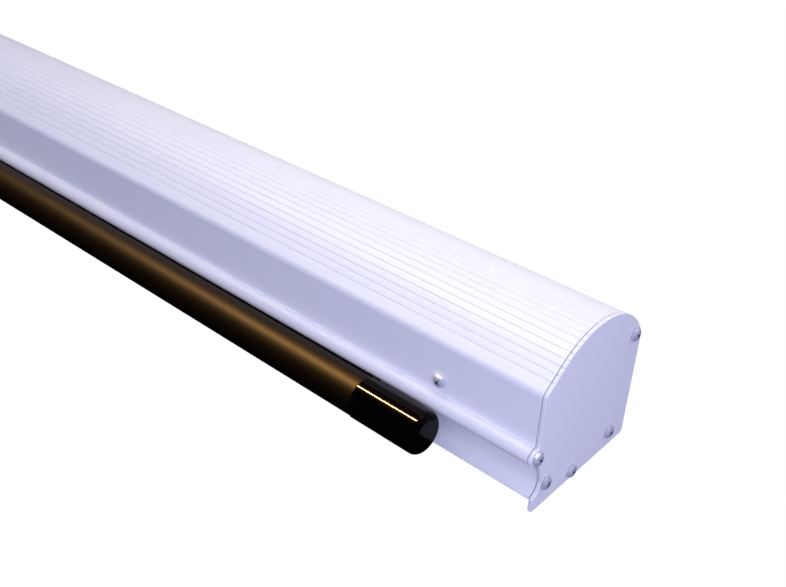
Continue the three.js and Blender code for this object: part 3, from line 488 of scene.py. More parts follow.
def piece(name, mesh, body, finishes, stands_for=(), sharp=38, weighted=True):
    """A finished piece: smooth but at its sharp edges, painted, riding on its body."""
    mesh.shade_smooth()
    mesh.set_sharp_from_angle(angle=math.radians(sharp))
    if weighted:
        worker = scratch(mesh)
        step = worker.modifiers.new("even", "WEIGHTED_NORMAL")
        step.keep_sharp = True
        mesh = baked(worker)
    finishes = finishes if isinstance(finishes, (list, tuple)) else [finishes]
    chosen = [min(face.material_index, len(finishes) - 1) for face in mesh.polygons]
    mesh.materials.clear()
    for finish in finishes:
        mesh.materials.append(finish)
    mesh.polygons.foreach_set("material_index", chosen)
    mesh.name = name
    made = bpy.data.objects.new(name, mesh)
    bpy.context.scene.collection.objects.link(made)
    if body:
        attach(made, body)
    if stands_for:
        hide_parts(*stands_for)
    return made


# case shell
PORT_RADIUS = 3.4
PORT_BORE = 1.8
PORT_OVERLAP = 0.3
NOSE_PORT_INSET = 3.3
NOSE_PORT_DROP = 2.5
FLOOR_PORT_SHARE = 0.602
BACK_PORT = (15.4, 8.5)
TOP_PORT_DEPTH = 7
PORT_REACH = ARCH_RADIUS - WALL - PORT_RADIUS + PORT_OVERLAP
PLATE_SCREWS = {
    "rail": RAIL,
    "nose": (COVE_BACK - NOSE_PORT_INSET, COVE[1] - NOSE_PORT_DROP),
    "floor": (FRONT_DEPTH * FLOOR_PORT_SHARE, PORT_RADIUS + WALL / 2),
    "back": BACK_PORT,
    "top": (TOP_PORT_DEPTH, ARCH[1] + math.sqrt(PORT_REACH ** 2 - (ARCH[0] - TOP_PORT_DEPTH) ** 2)),
}
FRONT_SCREW_HEIGHT = 43.1
FRONT_SCREWS = (1186.4, -1145.2)
WINDOW = (-1202, 50)
WINDOW_RADIUS = 5
KEYHOLES = (942, -942)
KEYHOLE_HEIGHT = 34
KEYHOLE_MOUTH = 5.5
KEYHOLE_SLOT = 2.6
KEYHOLE_RISE = 9
SCREW_HOLE = 2.2
PANEL_CUT = 5
OVERRUN = 2


def rod(radius, start, end, centre, facets=24):
    """A round bar along the case."""
    profile = [(start, 0), (start, radius), (end, radius), (end, 0)]
    return turned(profile, place(0, *centre), facets)


def across(radius, x, height, back, front, facets=40):
    """A round bar from the wall's side out to the front."""
    profile = [(back, 0), (back, radius), (front, radius), (front, 0)]
    return turned(profile, place(x, 0, height), facets, "Y")


def box(x_from, x_to, depth_from, depth_to, height_from, height_to):
    outline = [(depth_from, height_from), (depth_to, height_from),
               (depth_to, height_to), (depth_from, height_to)]
    return prism(outline, x_from, x_to)


def keyhole(x):
    """A keyhole through the back wall: a round mouth with a narrow slot above it."""
    mouth = across(KEYHOLE_MOUTH, x, KEYHOLE_HEIGHT, -OVERRUN, WALL + OVERRUN)
    end = across(KEYHOLE_SLOT, x, KEYHOLE_HEIGHT + KEYHOLE_RISE, -OVERRUN, WALL + OVERRUN)
    slot = box(x - KEYHOLE_SLOT, x + KEYHOLE_SLOT, -OVERRUN, WALL + OVERRUN, KEYHOLE_HEIGHT,
               KEYHOLE_HEIGHT + KEYHOLE_RISE)
    return combined(mouth, [slot, end], "UNION")


def case_shell():
    start, end = LEFT_END + PLATE + PLATE_GAP, RIGHT_END - PLATE - PLATE_GAP
    shell = edged(shell_outline(), start, end, SHELL_EDGE, steps=2)
    panel = (FRONT_DEPTH - PANEL_CUT, FRONT_DEPTH + OVERRUN)
    cuts = [across(SCREW_HOLE, x, FRONT_SCREW_HEIGHT, *panel) for x in FRONT_SCREWS]
    cuts.append(across(WINDOW_RADIUS + SEAT_GAP, *WINDOW, *panel))
    cuts += [keyhole(x) for x in KEYHOLES]
    cuts.append(rod(PORT_BORE, start - OVERRUN, end + OVERRUN, RAIL))
    return combined(shell, cuts, "DIFFERENCE")


piece("grooved_case_shell", case_shell(), "case", powder_coat, ["case_shell"])


# end plates
GLAND = (57, 33)
GLAND_RADIUS = 6
SOCKET = (9.7, 23.7, 36, 48)


def end_plate(start, openings=()):
    plate = edged(plate_outline(), start, start + PLATE, PLATE_ROUND, steps=5)
    holes = [rod(SCREW_HOLE, start - OVERRUN, start + PLATE + OVERRUN, centre)
             for centre in PLATE_SCREWS.values()]
    return combined(plate, holes + list(openings), "DIFFERENCE")


piece("right_end_plate", end_plate(RIGHT_END - PLATE), "case", plate_coat,
      ["end_plate_right"])
socket_hole = box(LEFT_END - OVERRUN, LEFT_END + PLATE + OVERRUN, SOCKET[0] - SEAT_GAP, SOCKET[1] + SEAT_GAP,
                  SOCKET[2] - SEAT_GAP, SOCKET[3] + SEAT_GAP)
gland_hole = rod(GLAND_RADIUS + SEAT_GAP, LEFT_END - OVERRUN, LEFT_END + PLATE + OVERRUN, GLAND, 64)
piece("left_end_plate", end_plate(LEFT_END, [socket_hole, gland_hole]), "case",
      plate_coat, ["end_plate_left"])

# weight bar
BAR_DEPTH = 91.698
BAR_GAP = 0.8
CAP_RADIUS = 10.8
BAR_REACH = RAIL_RADIUS + CAP_RADIUS + BAR_GAP
BAR = (BAR_DEPTH, RAIL[1] - math.sqrt(BAR_REACH ** 2 - (BAR_DEPTH - RAIL[0]) ** 2))
SLEEVE_INNER = 9.6
SLEEVE_OUTER = 10.4
CLOTH_RIGHT = 1152.6
CLOTH_LEFT = -1111.4
CLOTH_WIDTH = CLOTH_RIGHT - CLOTH_LEFT
CAP_LENGTH = 39.4
CAP_ROUND = 3.4
CAP_ROUND_STEPS = 12
CAP_LIP = 0.25
CAP_LIP_EDGE = 0.08
CAP_PLUG = 22
PLUG_RADIUS = 8.0
BAR_FACETS = 128


def sleeve():
    """The hem: cloth pulled tight round the bar."""
    profile = [(CLOTH_LEFT, SLEEVE_INNER), (CLOTH_LEFT, SLEEVE_OUTER), (CLOTH_RIGHT, SLEEVE_OUTER),
               (CLOTH_RIGHT, SLEEVE_INNER), (CLOTH_LEFT, SLEEVE_INNER)]
    return turned(profile, place(0, *BAR), BAR_FACETS)


def bar_cap(side):
    """A moulded cap: a plug inside the bar, a round body and a rounded end."""
    opening = CLOTH_RIGHT if side > 0 else CLOTH_LEFT
    end = opening + side * CAP_LENGTH
    neck = opening + side * SEAT_GAP
    profile = [(opening - side * CAP_PLUG, 0), (opening - side * CAP_PLUG, PLUG_RADIUS), (neck, PLUG_RADIUS),
               (neck, CAP_RADIUS - CAP_LIP), (neck + side * CAP_LIP_EDGE, CAP_RADIUS - CAP_LIP_EDGE),
               (neck + side * CAP_LIP, CAP_RADIUS)]
    for i in range(CAP_ROUND_STEPS + 1):
        a = math.pi / 2 * i / CAP_ROUND_STEPS
        back = side * CAP_ROUND * (1 - math.sin(a))
        profile.append((end - back, CAP_RADIUS - CAP_ROUND * (1 - math.cos(a))))
    profile.append((end, 0))
    return turned(profile, place(0, *BAR), BAR_FACETS)


hem = piece("bar_hem_sleeve", sleeve(), "bar", hem_cloth, ["bar_hem"])
piece("right_bar_cap", bar_cap(1), "bar", cap_plastic, ["bar_cap_right"])
piece("left_bar_cap", bar_cap(-1), "bar", cap_plastic, ["bar_cap_left"])

# Geometry Nodes for what repeats
def node_tree(name, **sockets):
    """An empty Geometry Nodes tree with named inputs, given as the kind of socket for each."""
    tree = bpy.data.node_groups.new(name, "GeometryNodeTree")
    tree.interface.new_socket("Geometry", in_out="INPUT", socket_type="NodeSocketGeometry")
    for label, kind in sockets.items():
        tree.interface.new_socket(label.replace("_", " "), in_out="INPUT", socket_type="NodeSocket" + kind)
    tree.interface.new_socket("Geometry", in_out="OUTPUT", socket_type="NodeSocketGeometry")
    return tree, add(tree, "NodeGroupInput").outputs


def ends_in(tree, instances, finish):
    """Closes a tree: real copies, painted."""
    real = add(tree, "GeometryNodeRealizeInstances", {"Geometry": instances})
    painted = add(tree, "GeometryNodeSetMaterial", {"Geometry": real.outputs[0], "Material": finish})
    add(tree, "NodeGroupOutput", {"Geometry": painted.outputs[0]})


def grown(mesh, tree, **values):
    """The mesh that a tree makes from another one, with the tree's inputs set by their identifiers."""
    worker = scratch(mesh)
    step = worker.modifiers.new("nodes", "NODES")
    step.node_group = tree
    for socket in tree.interface.items_tree:
        label = socket.name.replace(" ", "_")
        if label in values:
            step[socket.identifier] = values[label]
    return baked(worker)


def points(places, facing):
    """A mesh of loose points, each with the way that its copy faces."""
    mesh = bpy.data.meshes.new("places")
    mesh.from_pydata(places, [], [])
    way = mesh.attributes.new("facing", "FLOAT_VECTOR", "POINT")
    way.data.foreach_set("vector", [c for direction in facing for c in direction])
    return mesh


def scatter_tree():
    """Copies of one part on points, each facing its own way and turned about it by chance."""
    tree, given = node_tree("fasteners on their seats", Part="Object", Lift="Float", Largest_Turn="Float",
                            Seed="Int", Finish="Material")
    facing = add(tree, "GeometryNodeInputNamedAttribute", {"Name": "facing"}, data_type="FLOAT_VECTOR")
    offset = add(tree, "ShaderNodeVectorMath", {0: facing.outputs[0], 3: given["Lift"]}, operation="SCALE")
    lifted = add(tree, "GeometryNodeSetPosition", {"Geometry": given["Geometry"],
                                                   "Offset": offset.outputs[0]})
    upright = add(tree, "FunctionNodeAlignRotationToVector", {"Vector": facing.outputs[0]}, axis="Z")
    chance = add(tree, "FunctionNodeRandomValue", {2: 0.0, 3: given["Largest Turn"], "Seed": given["Seed"]},
                 data_type="FLOAT")
    twist = add(tree, "FunctionNodeAxisAngleToRotation", {"Axis": (0, 0, 1), "Angle": chance.outputs[1]})
    turned_by = add(tree, "FunctionNodeRotateRotation",
                    {"Rotation": upright.outputs[0], "Rotate By": twist.outputs[0]},
                    rotation_space="LOCAL")
    part = add(tree, "GeometryNodeObjectInfo", {"Object": given["Part"]})
    copies = add(tree, "GeometryNodeInstanceOnPoints", {"Points": lifted.outputs[0],
                                                        "Instance": part.outputs["Geometry"],
                                                        "Rotation": turned_by.outputs[0]})
    ends_in(tree, copies.outputs[0], given["Finish"])
    return tree


def ring_tree():
    """Copies of one part round a circle about Z, each turned to face outwards."""
    tree, given = node_tree("ribs round a ring", Part="Object", Count="Int", Radius="Float", Height="Float",
                            Finish="Material")
    circle = add(tree, "GeometryNodeMeshCircle", {"Vertices": given["Count"], "Radius": given["Radius"]})
    where = add(tree, "GeometryNodeInputPosition")
    outward = add(tree, "FunctionNodeAlignRotationToVector", {"Vector": where.outputs[0]}, axis="X",
                  pivot_axis="Z")
    part = add(tree, "GeometryNodeObjectInfo", {"Object": given["Part"]})
    copies = add(tree, "GeometryNodeInstanceOnPoints", {"Points": circle.outputs[0],
                                                        "Instance": part.outputs["Geometry"],
                                                        "Rotation": outward.outputs[0]})
    rise = add(tree, "ShaderNodeCombineXYZ", {"Z": given["Height"]})
    raised = add(tree, "GeometryNodeTransform", {"Geometry": copies.outputs[0],
                                                 "Translation": rise.outputs[0]})
    both = add(tree, "GeometryNodeJoinGeometry")
    tree.links.new(given["Geometry"], both.inputs[0])
    tree.links.new(raised.outputs[0], both.inputs[0])
    ends_in(tree, both.outputs[0], given["Finish"])
    return tree


def row_tree():
    """Copies of one part in a straight row."""
    tree, given = node_tree("parts in a row", Part="Object", Count="Int", Step="Vector", Finish="Material")
    line = add(tree, "GeometryNodeMeshLine", {"Count": given["Count"], "Offset": given["Step"]},
               mode="OFFSET")
    part = add(tree, "GeometryNodeObjectInfo", {"Object": given["Part"]})
    copies = add(tree, "GeometryNodeInstanceOnPoints", {"Points": line.outputs[0],
                                                        "Instance": part.outputs["Geometry"]})
    ends_in(tree, copies.outputs[0], given["Finish"])
    return tree


# Pan-head cross screws
HEAD_RADIUS = 3.3
HEAD_HEIGHT = 2.1
HEAD_EDGE = 0.6
SHANK_RADIUS = 1.6
CROSS_WIDTH = 0.8
CROSS_SPAN = 3.7
CROSS_DEPTH = 1.2
PLATE_SHANK = 12
FRONT_SHANK = 8
THREAD_PITCH = 1.2
THREAD_DEPTH = 0.28
DOME_SHAPE = 0.72
DOME_STEPS = 10
HEAD_FOOT_ROUND = (0.12, 0.15)
TIP_LENGTH = 1.8
THREAD_START = 2
THREAD_MARGIN = 3.4
NECK = 0.8
CROSS_OVERRUN = 0.3
# How far below the dome the painted shade in the cross begins, in millimetres
RECESS_START = 0.15
HEAD_SEAT = 0.1
SCREW_LIFT = 0.05
SCREW_SHARP = 32
MOTOR_SCREW_SEAT = -1127.5
MOTOR_SCREW_DEPTHS = {"front": 56.2, "rear": 22.2}
# Shares: the shank's radius at its tip, and the cross's span and width at its foot
TIP_SHARE = 0.55
CROSS_FOOT = (0.27, 0.3)


def pan_screw(length):
    """A screw standing on Z, its seat at zero: threaded shank, domed head and a cross narrowing inwards."""
    profile = [(-length, 0), (-length + TIP_LENGTH, SHANK_RADIUS * TIP_SHARE)]
    for i in range(int((length - THREAD_MARGIN) / THREAD_PITCH)):
        foot = -length + THREAD_START + i * THREAD_PITCH
        profile += [(foot, SHANK_RADIUS - THREAD_DEPTH), (foot + THREAD_PITCH / 2, SHANK_RADIUS)]
    neck_radius = SHANK_RADIUS - THREAD_DEPTH
    profile += [(-NECK, neck_radius), (0, neck_radius), (0, HEAD_RADIUS - HEAD_FOOT_ROUND[1]),
                (HEAD_FOOT_ROUND[0], HEAD_RADIUS), (HEAD_EDGE, HEAD_RADIUS)]
    for i in range(1, DOME_STEPS + 1):
        a = math.pi / 2 * i / DOME_STEPS
        rise = (HEAD_HEIGHT - HEAD_EDGE) * math.sin(a)
        profile.append((HEAD_EDGE + rise, HEAD_RADIUS * math.cos(a) ** DOME_SHAPE))
    profile[-1] = (HEAD_HEIGHT, 0)
    solid = turned(profile, Vector((0, 0, 0)), 40)
    wings = []
    for turn in (0, math.pi / 2):
        wing = bmesh.new()
        foot = (HEAD_HEIGHT - CROSS_DEPTH, CROSS_SPAN * CROSS_FOOT[0], CROSS_WIDTH * CROSS_FOOT[1])
        top = (HEAD_HEIGHT + CROSS_OVERRUN, CROSS_SPAN / 2, CROSS_WIDTH / 2)
        ring = []
        for x, half, wide in (foot, top):
            corners = [(half, wide), (-half, wide), (-half, -wide), (half, -wide)]
            ring.append([wing.verts.new(Vector((x, a * math.cos(turn) - b * math.sin(turn),
                                                a * math.sin(turn) + b * math.cos(turn))) * MM)
                         for a, b in corners])
        for i in range(4):
            wing.faces.new((ring[0][i - 1], ring[0][i], ring[1][i], ring[1][i - 1]))
        wing.faces.new(ring[0])
        wing.faces.new(ring[1][::-1])
        wings.append(closed(wing))
    solid = combined(solid, wings, "DIFFERENCE")
    solid.transform(Matrix.Rotation(-math.pi / 2, 4, "Y"))
    return solid


scatter = scatter_tree()


# The faces that this picks get the painted shade of the cross recess.
def in_recess(point, seat, way):
    """True for a point below the dome of the head that sits on this seat."""
    offset = (point - seat) / MM
    height = offset.dot(way)
    run = (offset - way * height).length
    if run > CROSS_SPAN / 2:
        return False
    dome = HEAD_EDGE + (HEAD_HEIGHT - HEAD_EDGE) * math.sqrt(1 - (run / HEAD_RADIUS) ** (2 / DOME_SHAPE))
    return HEAD_EDGE < height < dome - RECESS_START


def screws(name, length, places, facing, seed, stands_for):
    part = scratch(pan_screw(length))
    mesh = grown(points(places, facing), scatter, Part=part, Lift=SCREW_LIFT * MM, Largest_Turn=math.pi / 2,
                 Seed=seed, Finish=screw_zinc)
    bpy.data.objects.remove(part)
    made = piece(name, mesh, "case", (screw_zinc, recess_painted_shade), stands_for,
                 SCREW_SHARP, weighted=False)
    # Faces in the cross recess get the painted shade, the others the plain zinc.
    for face in made.data.polygons:
        nearest = min(range(len(places)), key=lambda i: (face.center - places[i]).length)
        face.material_index = int(in_recess(face.center, places[nearest], facing[nearest]))


outward = {"right": (Vector((1, 0, 0)), RIGHT_END), "left": (Vector((-1, 0, 0)), LEFT_END)}
spots, ways, nodes = [], [], []
for side, (way, face) in outward.items():
    for port, centre in PLATE_SCREWS.items():
        spots.append(place(face, *centre) + way * HEAD_SEAT * MM)
        ways.append(way)
        nodes.append("plate_screw_" + side + "_" + port)
for port, depth in MOTOR_SCREW_DEPTHS.items():
    spots.append(place(MOTOR_SCREW_SEAT, depth, ARCH[1]))
    ways.append(Vector((1, 0, 0)))
    nodes.append("motor_head_screw_" + port)
screws("case_and_motor_screws", PLATE_SHANK, spots, ways, 5, nodes)
front_spots = [place(x, FRONT_DEPTH + HEAD_SEAT, FRONT_SCREW_HEIGHT) for x in FRONT_SCREWS]
screws("front_panel_screws", FRONT_SHANK, front_spots, [Vector((0, -1, 0))] * 2, 11,
       ["front_screw_right", "front_screw_left"])

# Cloth off the roll, round behind the rail and down to the bar
CLOTH = 0.4
TOP_DROP = 305
PICTURE = (2214, 1245)
BOTTOM_BORDER = 50
FULL_DROP = TOP_DROP + PICTURE[1] + BOTTOM_BORDER
CLOTH_GAP = 0.3
WOUND_INNER = 25.2
WOUND_OUTER = 29.613
DROP_DEPTH = COVE[0] + CLOTH_GAP + CLOTH / 2
DROP_FOOT = 16.85
RAIL_LEAVE = math.radians(240)
RAIL_STEP = math.radians(4)
HANGING_ROWS = 48
CLOTH_COLUMNS = 24
WEAVE = 0.8
WOUND_TURNS = 11
WOUND_FACETS = 72
# The wound strip is drawn thinner than the cloth, so that its turns stay apart
WOUND_THICKNESS = 0.32


def feed_path():
    """From the roll's front, round the rail's back and foot, to the place where the cloth hangs free."""
    reach = WOUND_OUTER + CLOTH_GAP + CLOTH / 2
    turn_radius = RAIL_RADIUS + CLOTH_GAP + CLOTH
    across_by, down = RAIL[0] - ARCH[0], ARCH[1] - RAIL[1]
    leave = math.acos((reach + turn_radius) / math.hypot(across_by, down)) - math.atan2(down, across_by)
    start = (ARCH[0] + reach * math.cos(leave), ARCH[1] + reach * math.sin(leave))
    rail = arc(RAIL, turn_radius, leave + math.pi, RAIL_LEAVE, RAIL_STEP)
    fall = (DROP_DEPTH - rail[-1][0]) / math.tan(RAIL_LEAVE - math.pi)
    return [start] + rail + [(DROP_DEPTH, rail[-1][1] - fall)]


def cloth_mesh():
    """Closed cloth 0.4 mm thick. Its hanging rows are set so that they part evenly as the bar sinks.
    The UV runs over the cloth once: across it, and from the roll to the bar."""
    path = feed_path()
    top = path[-1][1]
    for i in range(1, HANGING_ROWS + 1):
        share = i / HANGING_ROWS
        t = 0.5 - math.sin(math.asin(1 - 2 * share) / 3)
        path.append((DROP_DEPTH, top - (top - DROP_FOOT) * t))
    hanging = [0.0] * (len(path) - HANGING_ROWS) + [i / HANGING_ROWS for i in range(1, HANGING_ROWS + 1)]
    columns = [CLOTH_LEFT + CLOTH_WIDTH * i / CLOTH_COLUMNS for i in range(CLOTH_COLUMNS + 1)]
    mesh = bmesh.new()
    uv = mesh.loops.layers.uv.new("UVMap")
    sides = []
    for sign in (-1, 1):
        grid = []
        for i, (depth, height) in enumerate(path):
            before, after = path[max(i - 1, 0)], path[min(i + 1, len(path) - 1)]
            along = (Vector(after) - Vector(before)).normalized()
            here = (depth - sign * CLOTH / 2 * along.y, height + sign * CLOTH / 2 * along.x)
            grid.append([mesh.verts.new(place(x, *here)) for x in columns])
        sides.append(grid)

    def face(corners, marks, material_index):
        made = mesh.faces.new(corners)
        made.material_index = material_index
        for loop, mark in zip(made.loops, marks):
            loop[uv].uv = mark

    last = len(columns) - 1
    for i in range(len(path) - 1):
        v0, v1 = hanging[i], hanging[i + 1]
        for j in range(last):
            u0, u1 = j / last, (j + 1) / last
            for grid, index in ((sides[1], 0), (sides[0], 1)):
                face((grid[i][j], grid[i][j + 1], grid[i + 1][j + 1], grid[i + 1][j]),
                     ((u0, v0), (u1, v0), (u1, v1), (u0, v1)), index)
        for j in (0, last):
            face((sides[0][i][j], sides[1][i][j], sides[1][i + 1][j], sides[0][i + 1][j]),
                 ((j / last, v0), (j / last, v0), (j / last, v1), (j / last, v1)), 1)
    for i in (0, len(path) - 1):
        for j in range(last):
            face((sides[0][i][j], sides[0][i][j + 1], sides[1][i][j + 1], sides[1][i][j]),
                 ((j / last, hanging[i]),) * 4, 1)
    bmesh.ops.recalc_face_normals(mesh, faces=mesh.faces)
    made = bpy.data.meshes.new("cloth")
    mesh.to_mesh(made)
    mesh.free()
    return made, path


def picture_cloth():
    """Coated glass-fibre screen cloth: black PVC with a matt white picture field between black borders.
    The pattern follows the UV, which is the real cloth's width and drop."""
    made, tree, shader, where = material("screen cloth with its picture field")
    uv = add(tree, "ShaderNodeUVMap", uv_map="UVMap")
    split = add(tree, "ShaderNodeSeparateXYZ", {0: uv.outputs[0]})
    across_field = add(tree, "ShaderNodeMath", {0: split.outputs[0], 1: 0.5, 2: PICTURE[0] / CLOTH_WIDTH / 2},
                       operation="COMPARE")
    middle = (TOP_DROP + PICTURE[1] / 2) / FULL_DROP
    down_field = add(tree, "ShaderNodeMath", {0: split.outputs[1], 1: middle, 2: PICTURE[1] / FULL_DROP / 2},
                     operation="COMPARE")
    field = add(tree, "ShaderNodeMath", {0: across_field.outputs[0], 1: down_field.outputs[0]},
                operation="MULTIPLY")
    weave = add(tree, "ShaderNodeTexNoise", {"Vector": where, "Scale": 1 / (WEAVE * MM), "Detail": 2.0})
    white_part = two_tone(tree, weave.outputs["Fac"], "#E9E9EA", "#F1F1F1")
    black_part = two_tone(tree, weave.outputs["Fac"], "#0B0A0A", "#141312")
    both = add(tree, "ShaderNodeMix", {0: field.outputs[0], 6: black_part, 7: white_part}, data_type="RGBA")
    tree.links.new(both.outputs[2], shader.inputs["Base Color"])
    emboss(tree, shader, weave.outputs["Fac"], 0.01)
    shader.inputs["Roughness"].default_value = 0.75
    shader.inputs["Specular IOR Level"].default_value = 0.25
    return made


cloth, path = cloth_mesh()
screen = piece("screen_cloth", cloth, None, [picture_cloth(), back_cloth],
               ["fabric_feed", "fabric_drop"], weighted=False)
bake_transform(screen)


def wound_cloth():
    """The cloth on the roller, one strip wound in a spiral that leaves it at the feed's height."""
    pitch = (WOUND_OUTER - WOUND_THICKNESS - WOUND_INNER) / WOUND_TURNS
    start = feed_path()[0]
    end_angle = math.atan2(start[1] - ARCH[1], start[0] - ARCH[0])
    count = WOUND_TURNS * WOUND_FACETS
    mesh = bmesh.new()
    rows = []
    for i in range(count + 1):
        a = end_angle + 2 * math.pi * (count - i) / WOUND_FACETS
        inner = WOUND_INNER + pitch * i / WOUND_FACETS
        rim = [(ARCH[0] + r * math.cos(a), ARCH[1] + r * math.sin(a))
               for r in (inner, inner + WOUND_THICKNESS)]
        rows.append([mesh.verts.new(place(x, *rim[k]))
                     for x, k in ((CLOTH_LEFT, 0), (CLOTH_LEFT, 1), (CLOTH_RIGHT, 1), (CLOTH_RIGHT, 0))])
    for low, high in zip(rows, rows[1:]):
        for k in range(4):
            mesh.faces.new((low[k - 1], low[k], high[k], high[k - 1]))
    mesh.faces.new(rows[0])
    mesh.faces.new(rows[-1][::-1])
    mean = (WOUND_INNER + WOUND_OUTER) / 2
    return closed(mesh), 2 * math.pi * mean * WOUND_TURNS


spiral, spiral_length = wound_cloth()
wound = piece("wound_screen_cloth", spiral, "roller", back_cloth, ["fabric_roll"],
              weighted=False)

# Window of the infrared receiver
# (distance out from the front panel, radius) from the window's back to the foot of its dome
LENS_PROFILE = ((-1.6, 0), (-1.6, WINDOW_RADIUS), (0.2, WINDOW_RADIUS), (0.2, 6.35), (0.3, 6.5), (0.55, 6.5),
                (0.72, 6.35), (0.8, 6.1), (0.8, 5.2), (0.6, 4.9))
LENS_RISE, LENS_RADIUS = LENS_PROFILE[-1]
LENS_STEPS = 8

lens_profile = [(FRONT_DEPTH + out, radius) for out, radius in LENS_PROFILE]
for i in range(1, LENS_STEPS + 1):
    a = math.pi / 2 * i / LENS_STEPS
    lens_profile.append((FRONT_DEPTH + LENS_RISE + LENS_RISE * math.sin(a), LENS_RADIUS * math.cos(a)))
lens_profile[-1] = (FRONT_DEPTH + 2 * LENS_RISE, 0)
piece("infrared_lens", turned(lens_profile, place(WINDOW[0], 0, WINDOW[1]), 64, "Y"), "case",
      window_acrylic, ["infrared_window"])

# Mains gland: threaded body, nut with grip ribs and a sealing ring round the bore
GLAND_NUT = 9
GLAND_BORE = 4
RIBS = 18


def gland():
    """The gland, turned about the case's length, with ribs set round its nut."""
    outer = [(-1233, GLAND_BORE), (-1233, GLAND_RADIUS - 0.4)]
    for i in range(5):
        outer += [(-1233.6 - i * 1.4, GLAND_RADIUS - 0.35), (-1234.3 - i * 1.4, GLAND_RADIUS)]
    outer += [(-1242.2, GLAND_RADIUS), (-1242.2, GLAND_NUT - 0.5), (-1242.7, GLAND_NUT), (-1244.4, GLAND_NUT),
              (-1244.9, GLAND_NUT - 0.7), (-1252.2, GLAND_NUT - 0.9)]
    for i in range(1, 7):
        a = math.pi / 2 * i / 6
        outer.append((-1252.2 - 3 * math.sin(a), GLAND_NUT - 0.9 - 2.6 * (1 - math.cos(a))))
    outer += [(-1255.2, GLAND_BORE + 0.4), (-1254.9, GLAND_BORE), (-1233, GLAND_BORE)]
    body = turned([(x + 1242, radius) for x, radius in outer], Vector((0, 0, 0)), 72)
    body.transform(Matrix.Rotation(-math.pi / 2, 4, "Y"))
    rib_mesh = turned([(-3.1, 0), (-3.1, 0.42), (2.6, 0.42), (3.1, 0.1), (3.1, 0)], Vector((0, 0, 0)), 10)
    rib_mesh.transform(Matrix.Rotation(-math.pi / 2, 4, "Y"))
    rib = scratch(rib_mesh)
    mesh = grown(body, ring_tree(), Part=rib, Count=RIBS, Radius=(GLAND_NUT - 0.85) * MM, Height=-8.6 * MM,
                 Finish=black_moulding)
    bpy.data.objects.remove(rib)
    mesh.transform(Matrix.Translation(place(-1242, *GLAND)) @ Matrix.Rotation(math.pi / 2, 4, "Y"))
    return mesh


piece("ribbed_mains_gland", gland(), "case", black_moulding, ["mains_gland"], 40, False)

# Spring contacts in the control socket
CONTACTS = 6
CONTACT_STEP = 1.27
CONTACT_WIRE = (-1240, -1231.5, -0.2, 0.2, 37.3, 37.7)


def contacts():
    """Gilt spring wires, side by side, reaching into the socket."""
    wire = scratch(box(*CONTACT_WIRE))
    start = (SOCKET[0] + SOCKET[1]) / 2 - CONTACT_STEP * (CONTACTS - 1) / 2
    mesh = grown(bpy.data.meshes.new("empty"), row_tree(), Part=wire, Count=CONTACTS,
                 Step=Vector((0, -CONTACT_STEP * MM, 0)), Finish=gilt)
    bpy.data.objects.remove(wire)
    mesh.transform(Matrix.Translation((0, -start * MM, 0)))
    return mesh


piece("socket_contacts", contacts(), "case", gilt, (), 30, False)

# Nodes that are carried over from the CAD model, each with its own finish
CARRIED = {
    zinc_sheet: ["idler_bracket", "motor_bracket", "motor_housing", "motor_gearbox", "motor_core",
                 "idler_pin_nut", "idler_bearing", "output_shaft", "weight_bar"],
    tube_metal: ["roller_tube"],
    screw_zinc: ["idler_pin"],
    black_moulding: ["motor_head", "motor_lead", "control_housing", "control_lid", "control_socket",
                     "board_transformer", "mains_gland_nut", "infrared_receiver"],
    white_moulding: ["idler_plug", "drive_wheel", "crown_ring", "limit_screw_up"],
    blue_moulding: ["limit_screw_down", "relay_up", "relay_down"],
    grey_moulding: ["motor_capacitor", "terminal_block"],
    board: ["control_board"],
}
for finish, nodes in CARRIED.items():
    for node in nodes:
        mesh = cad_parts[node].data
        mesh.materials.clear()
        mesh.materials.append(finish)

# light, floor and background
def softbox(name, location, target, width, height, power, colour):
    """A rectangular lamp that the camera doesn't see. Places and sizes are in metres."""
    data = bpy.data.lights.new(name, "AREA")
    data.shape = "RECTANGLE"
    data.size, data.size_y = width, height
    data.energy = power
    data.color = linear(colour)[:3]
    lamp = bpy.data.objects.new(name, data)
    bpy.context.scene.collection.objects.link(lamp)
    lamp.visible_camera = False
    lamp.location = location
    lamp.rotation_euler = (Vector(target) - Vector(location)).to_track_quat("-Z", "Y").to_euler()
    return lamp


def direct_rays(tree):
    """A tree's light path, and 1 for rays that come from the camera or through something clear."""
    rays = add(tree, "ShaderNodeLightPath")
    seen = add(tree, "ShaderNodeMath",
               {0: rays.outputs["Is Camera Ray"], 1: rays.outputs["Is Transmission Ray"]},
               operation="MAXIMUM")
    return rays, seen


KEY_POWER = 1.12
KEY_COLOUR = "#FFF0D2"
TUBE_POWER = 135
TUBE_COLOUR = "#FFEBC8"
ROOM_COLOUR = "#D2D6F1"
CEILING_COLOUR = "#DAD9E9"
ROOM_SIDES = 0.83
ROOM_TOP = 0.9
GLOSS_STRENGTH = 0.012
FILL_POWER = 2.2
FILL_COLOUR = "#C6C9E8"

# Warm key from above and behind the right end: it lights the top and the slope, and leaves the front panel
# and the plate to the room and the fill
softbox("key softbox", (1.17, 0.13, 0.46), (1.1, -0.04, 0.03), 0.38, 0.2, KEY_POWER, KEY_COLOUR)

# Long tube above, which shows as a broad band on the bar's cloth and as a thin line on its glossy cap
tube = softbox("tube above the bar", (0.73, -0.2, 0.95), (0.73, -0.09, 0.0), 0.76, 0.03, TUBE_POWER,
               TUBE_COLOUR)
tube.visible_diffuse = False

# Soft fill from the front right, for the plate and the panel, which it leaves darker towards the left
fill = softbox("front fill", (1.62, -0.42, 0.22), (1.12, -0.06, 0.02), 0.3, 0.3, FILL_POWER, FILL_COLOUR)
fill.visible_glossy = False

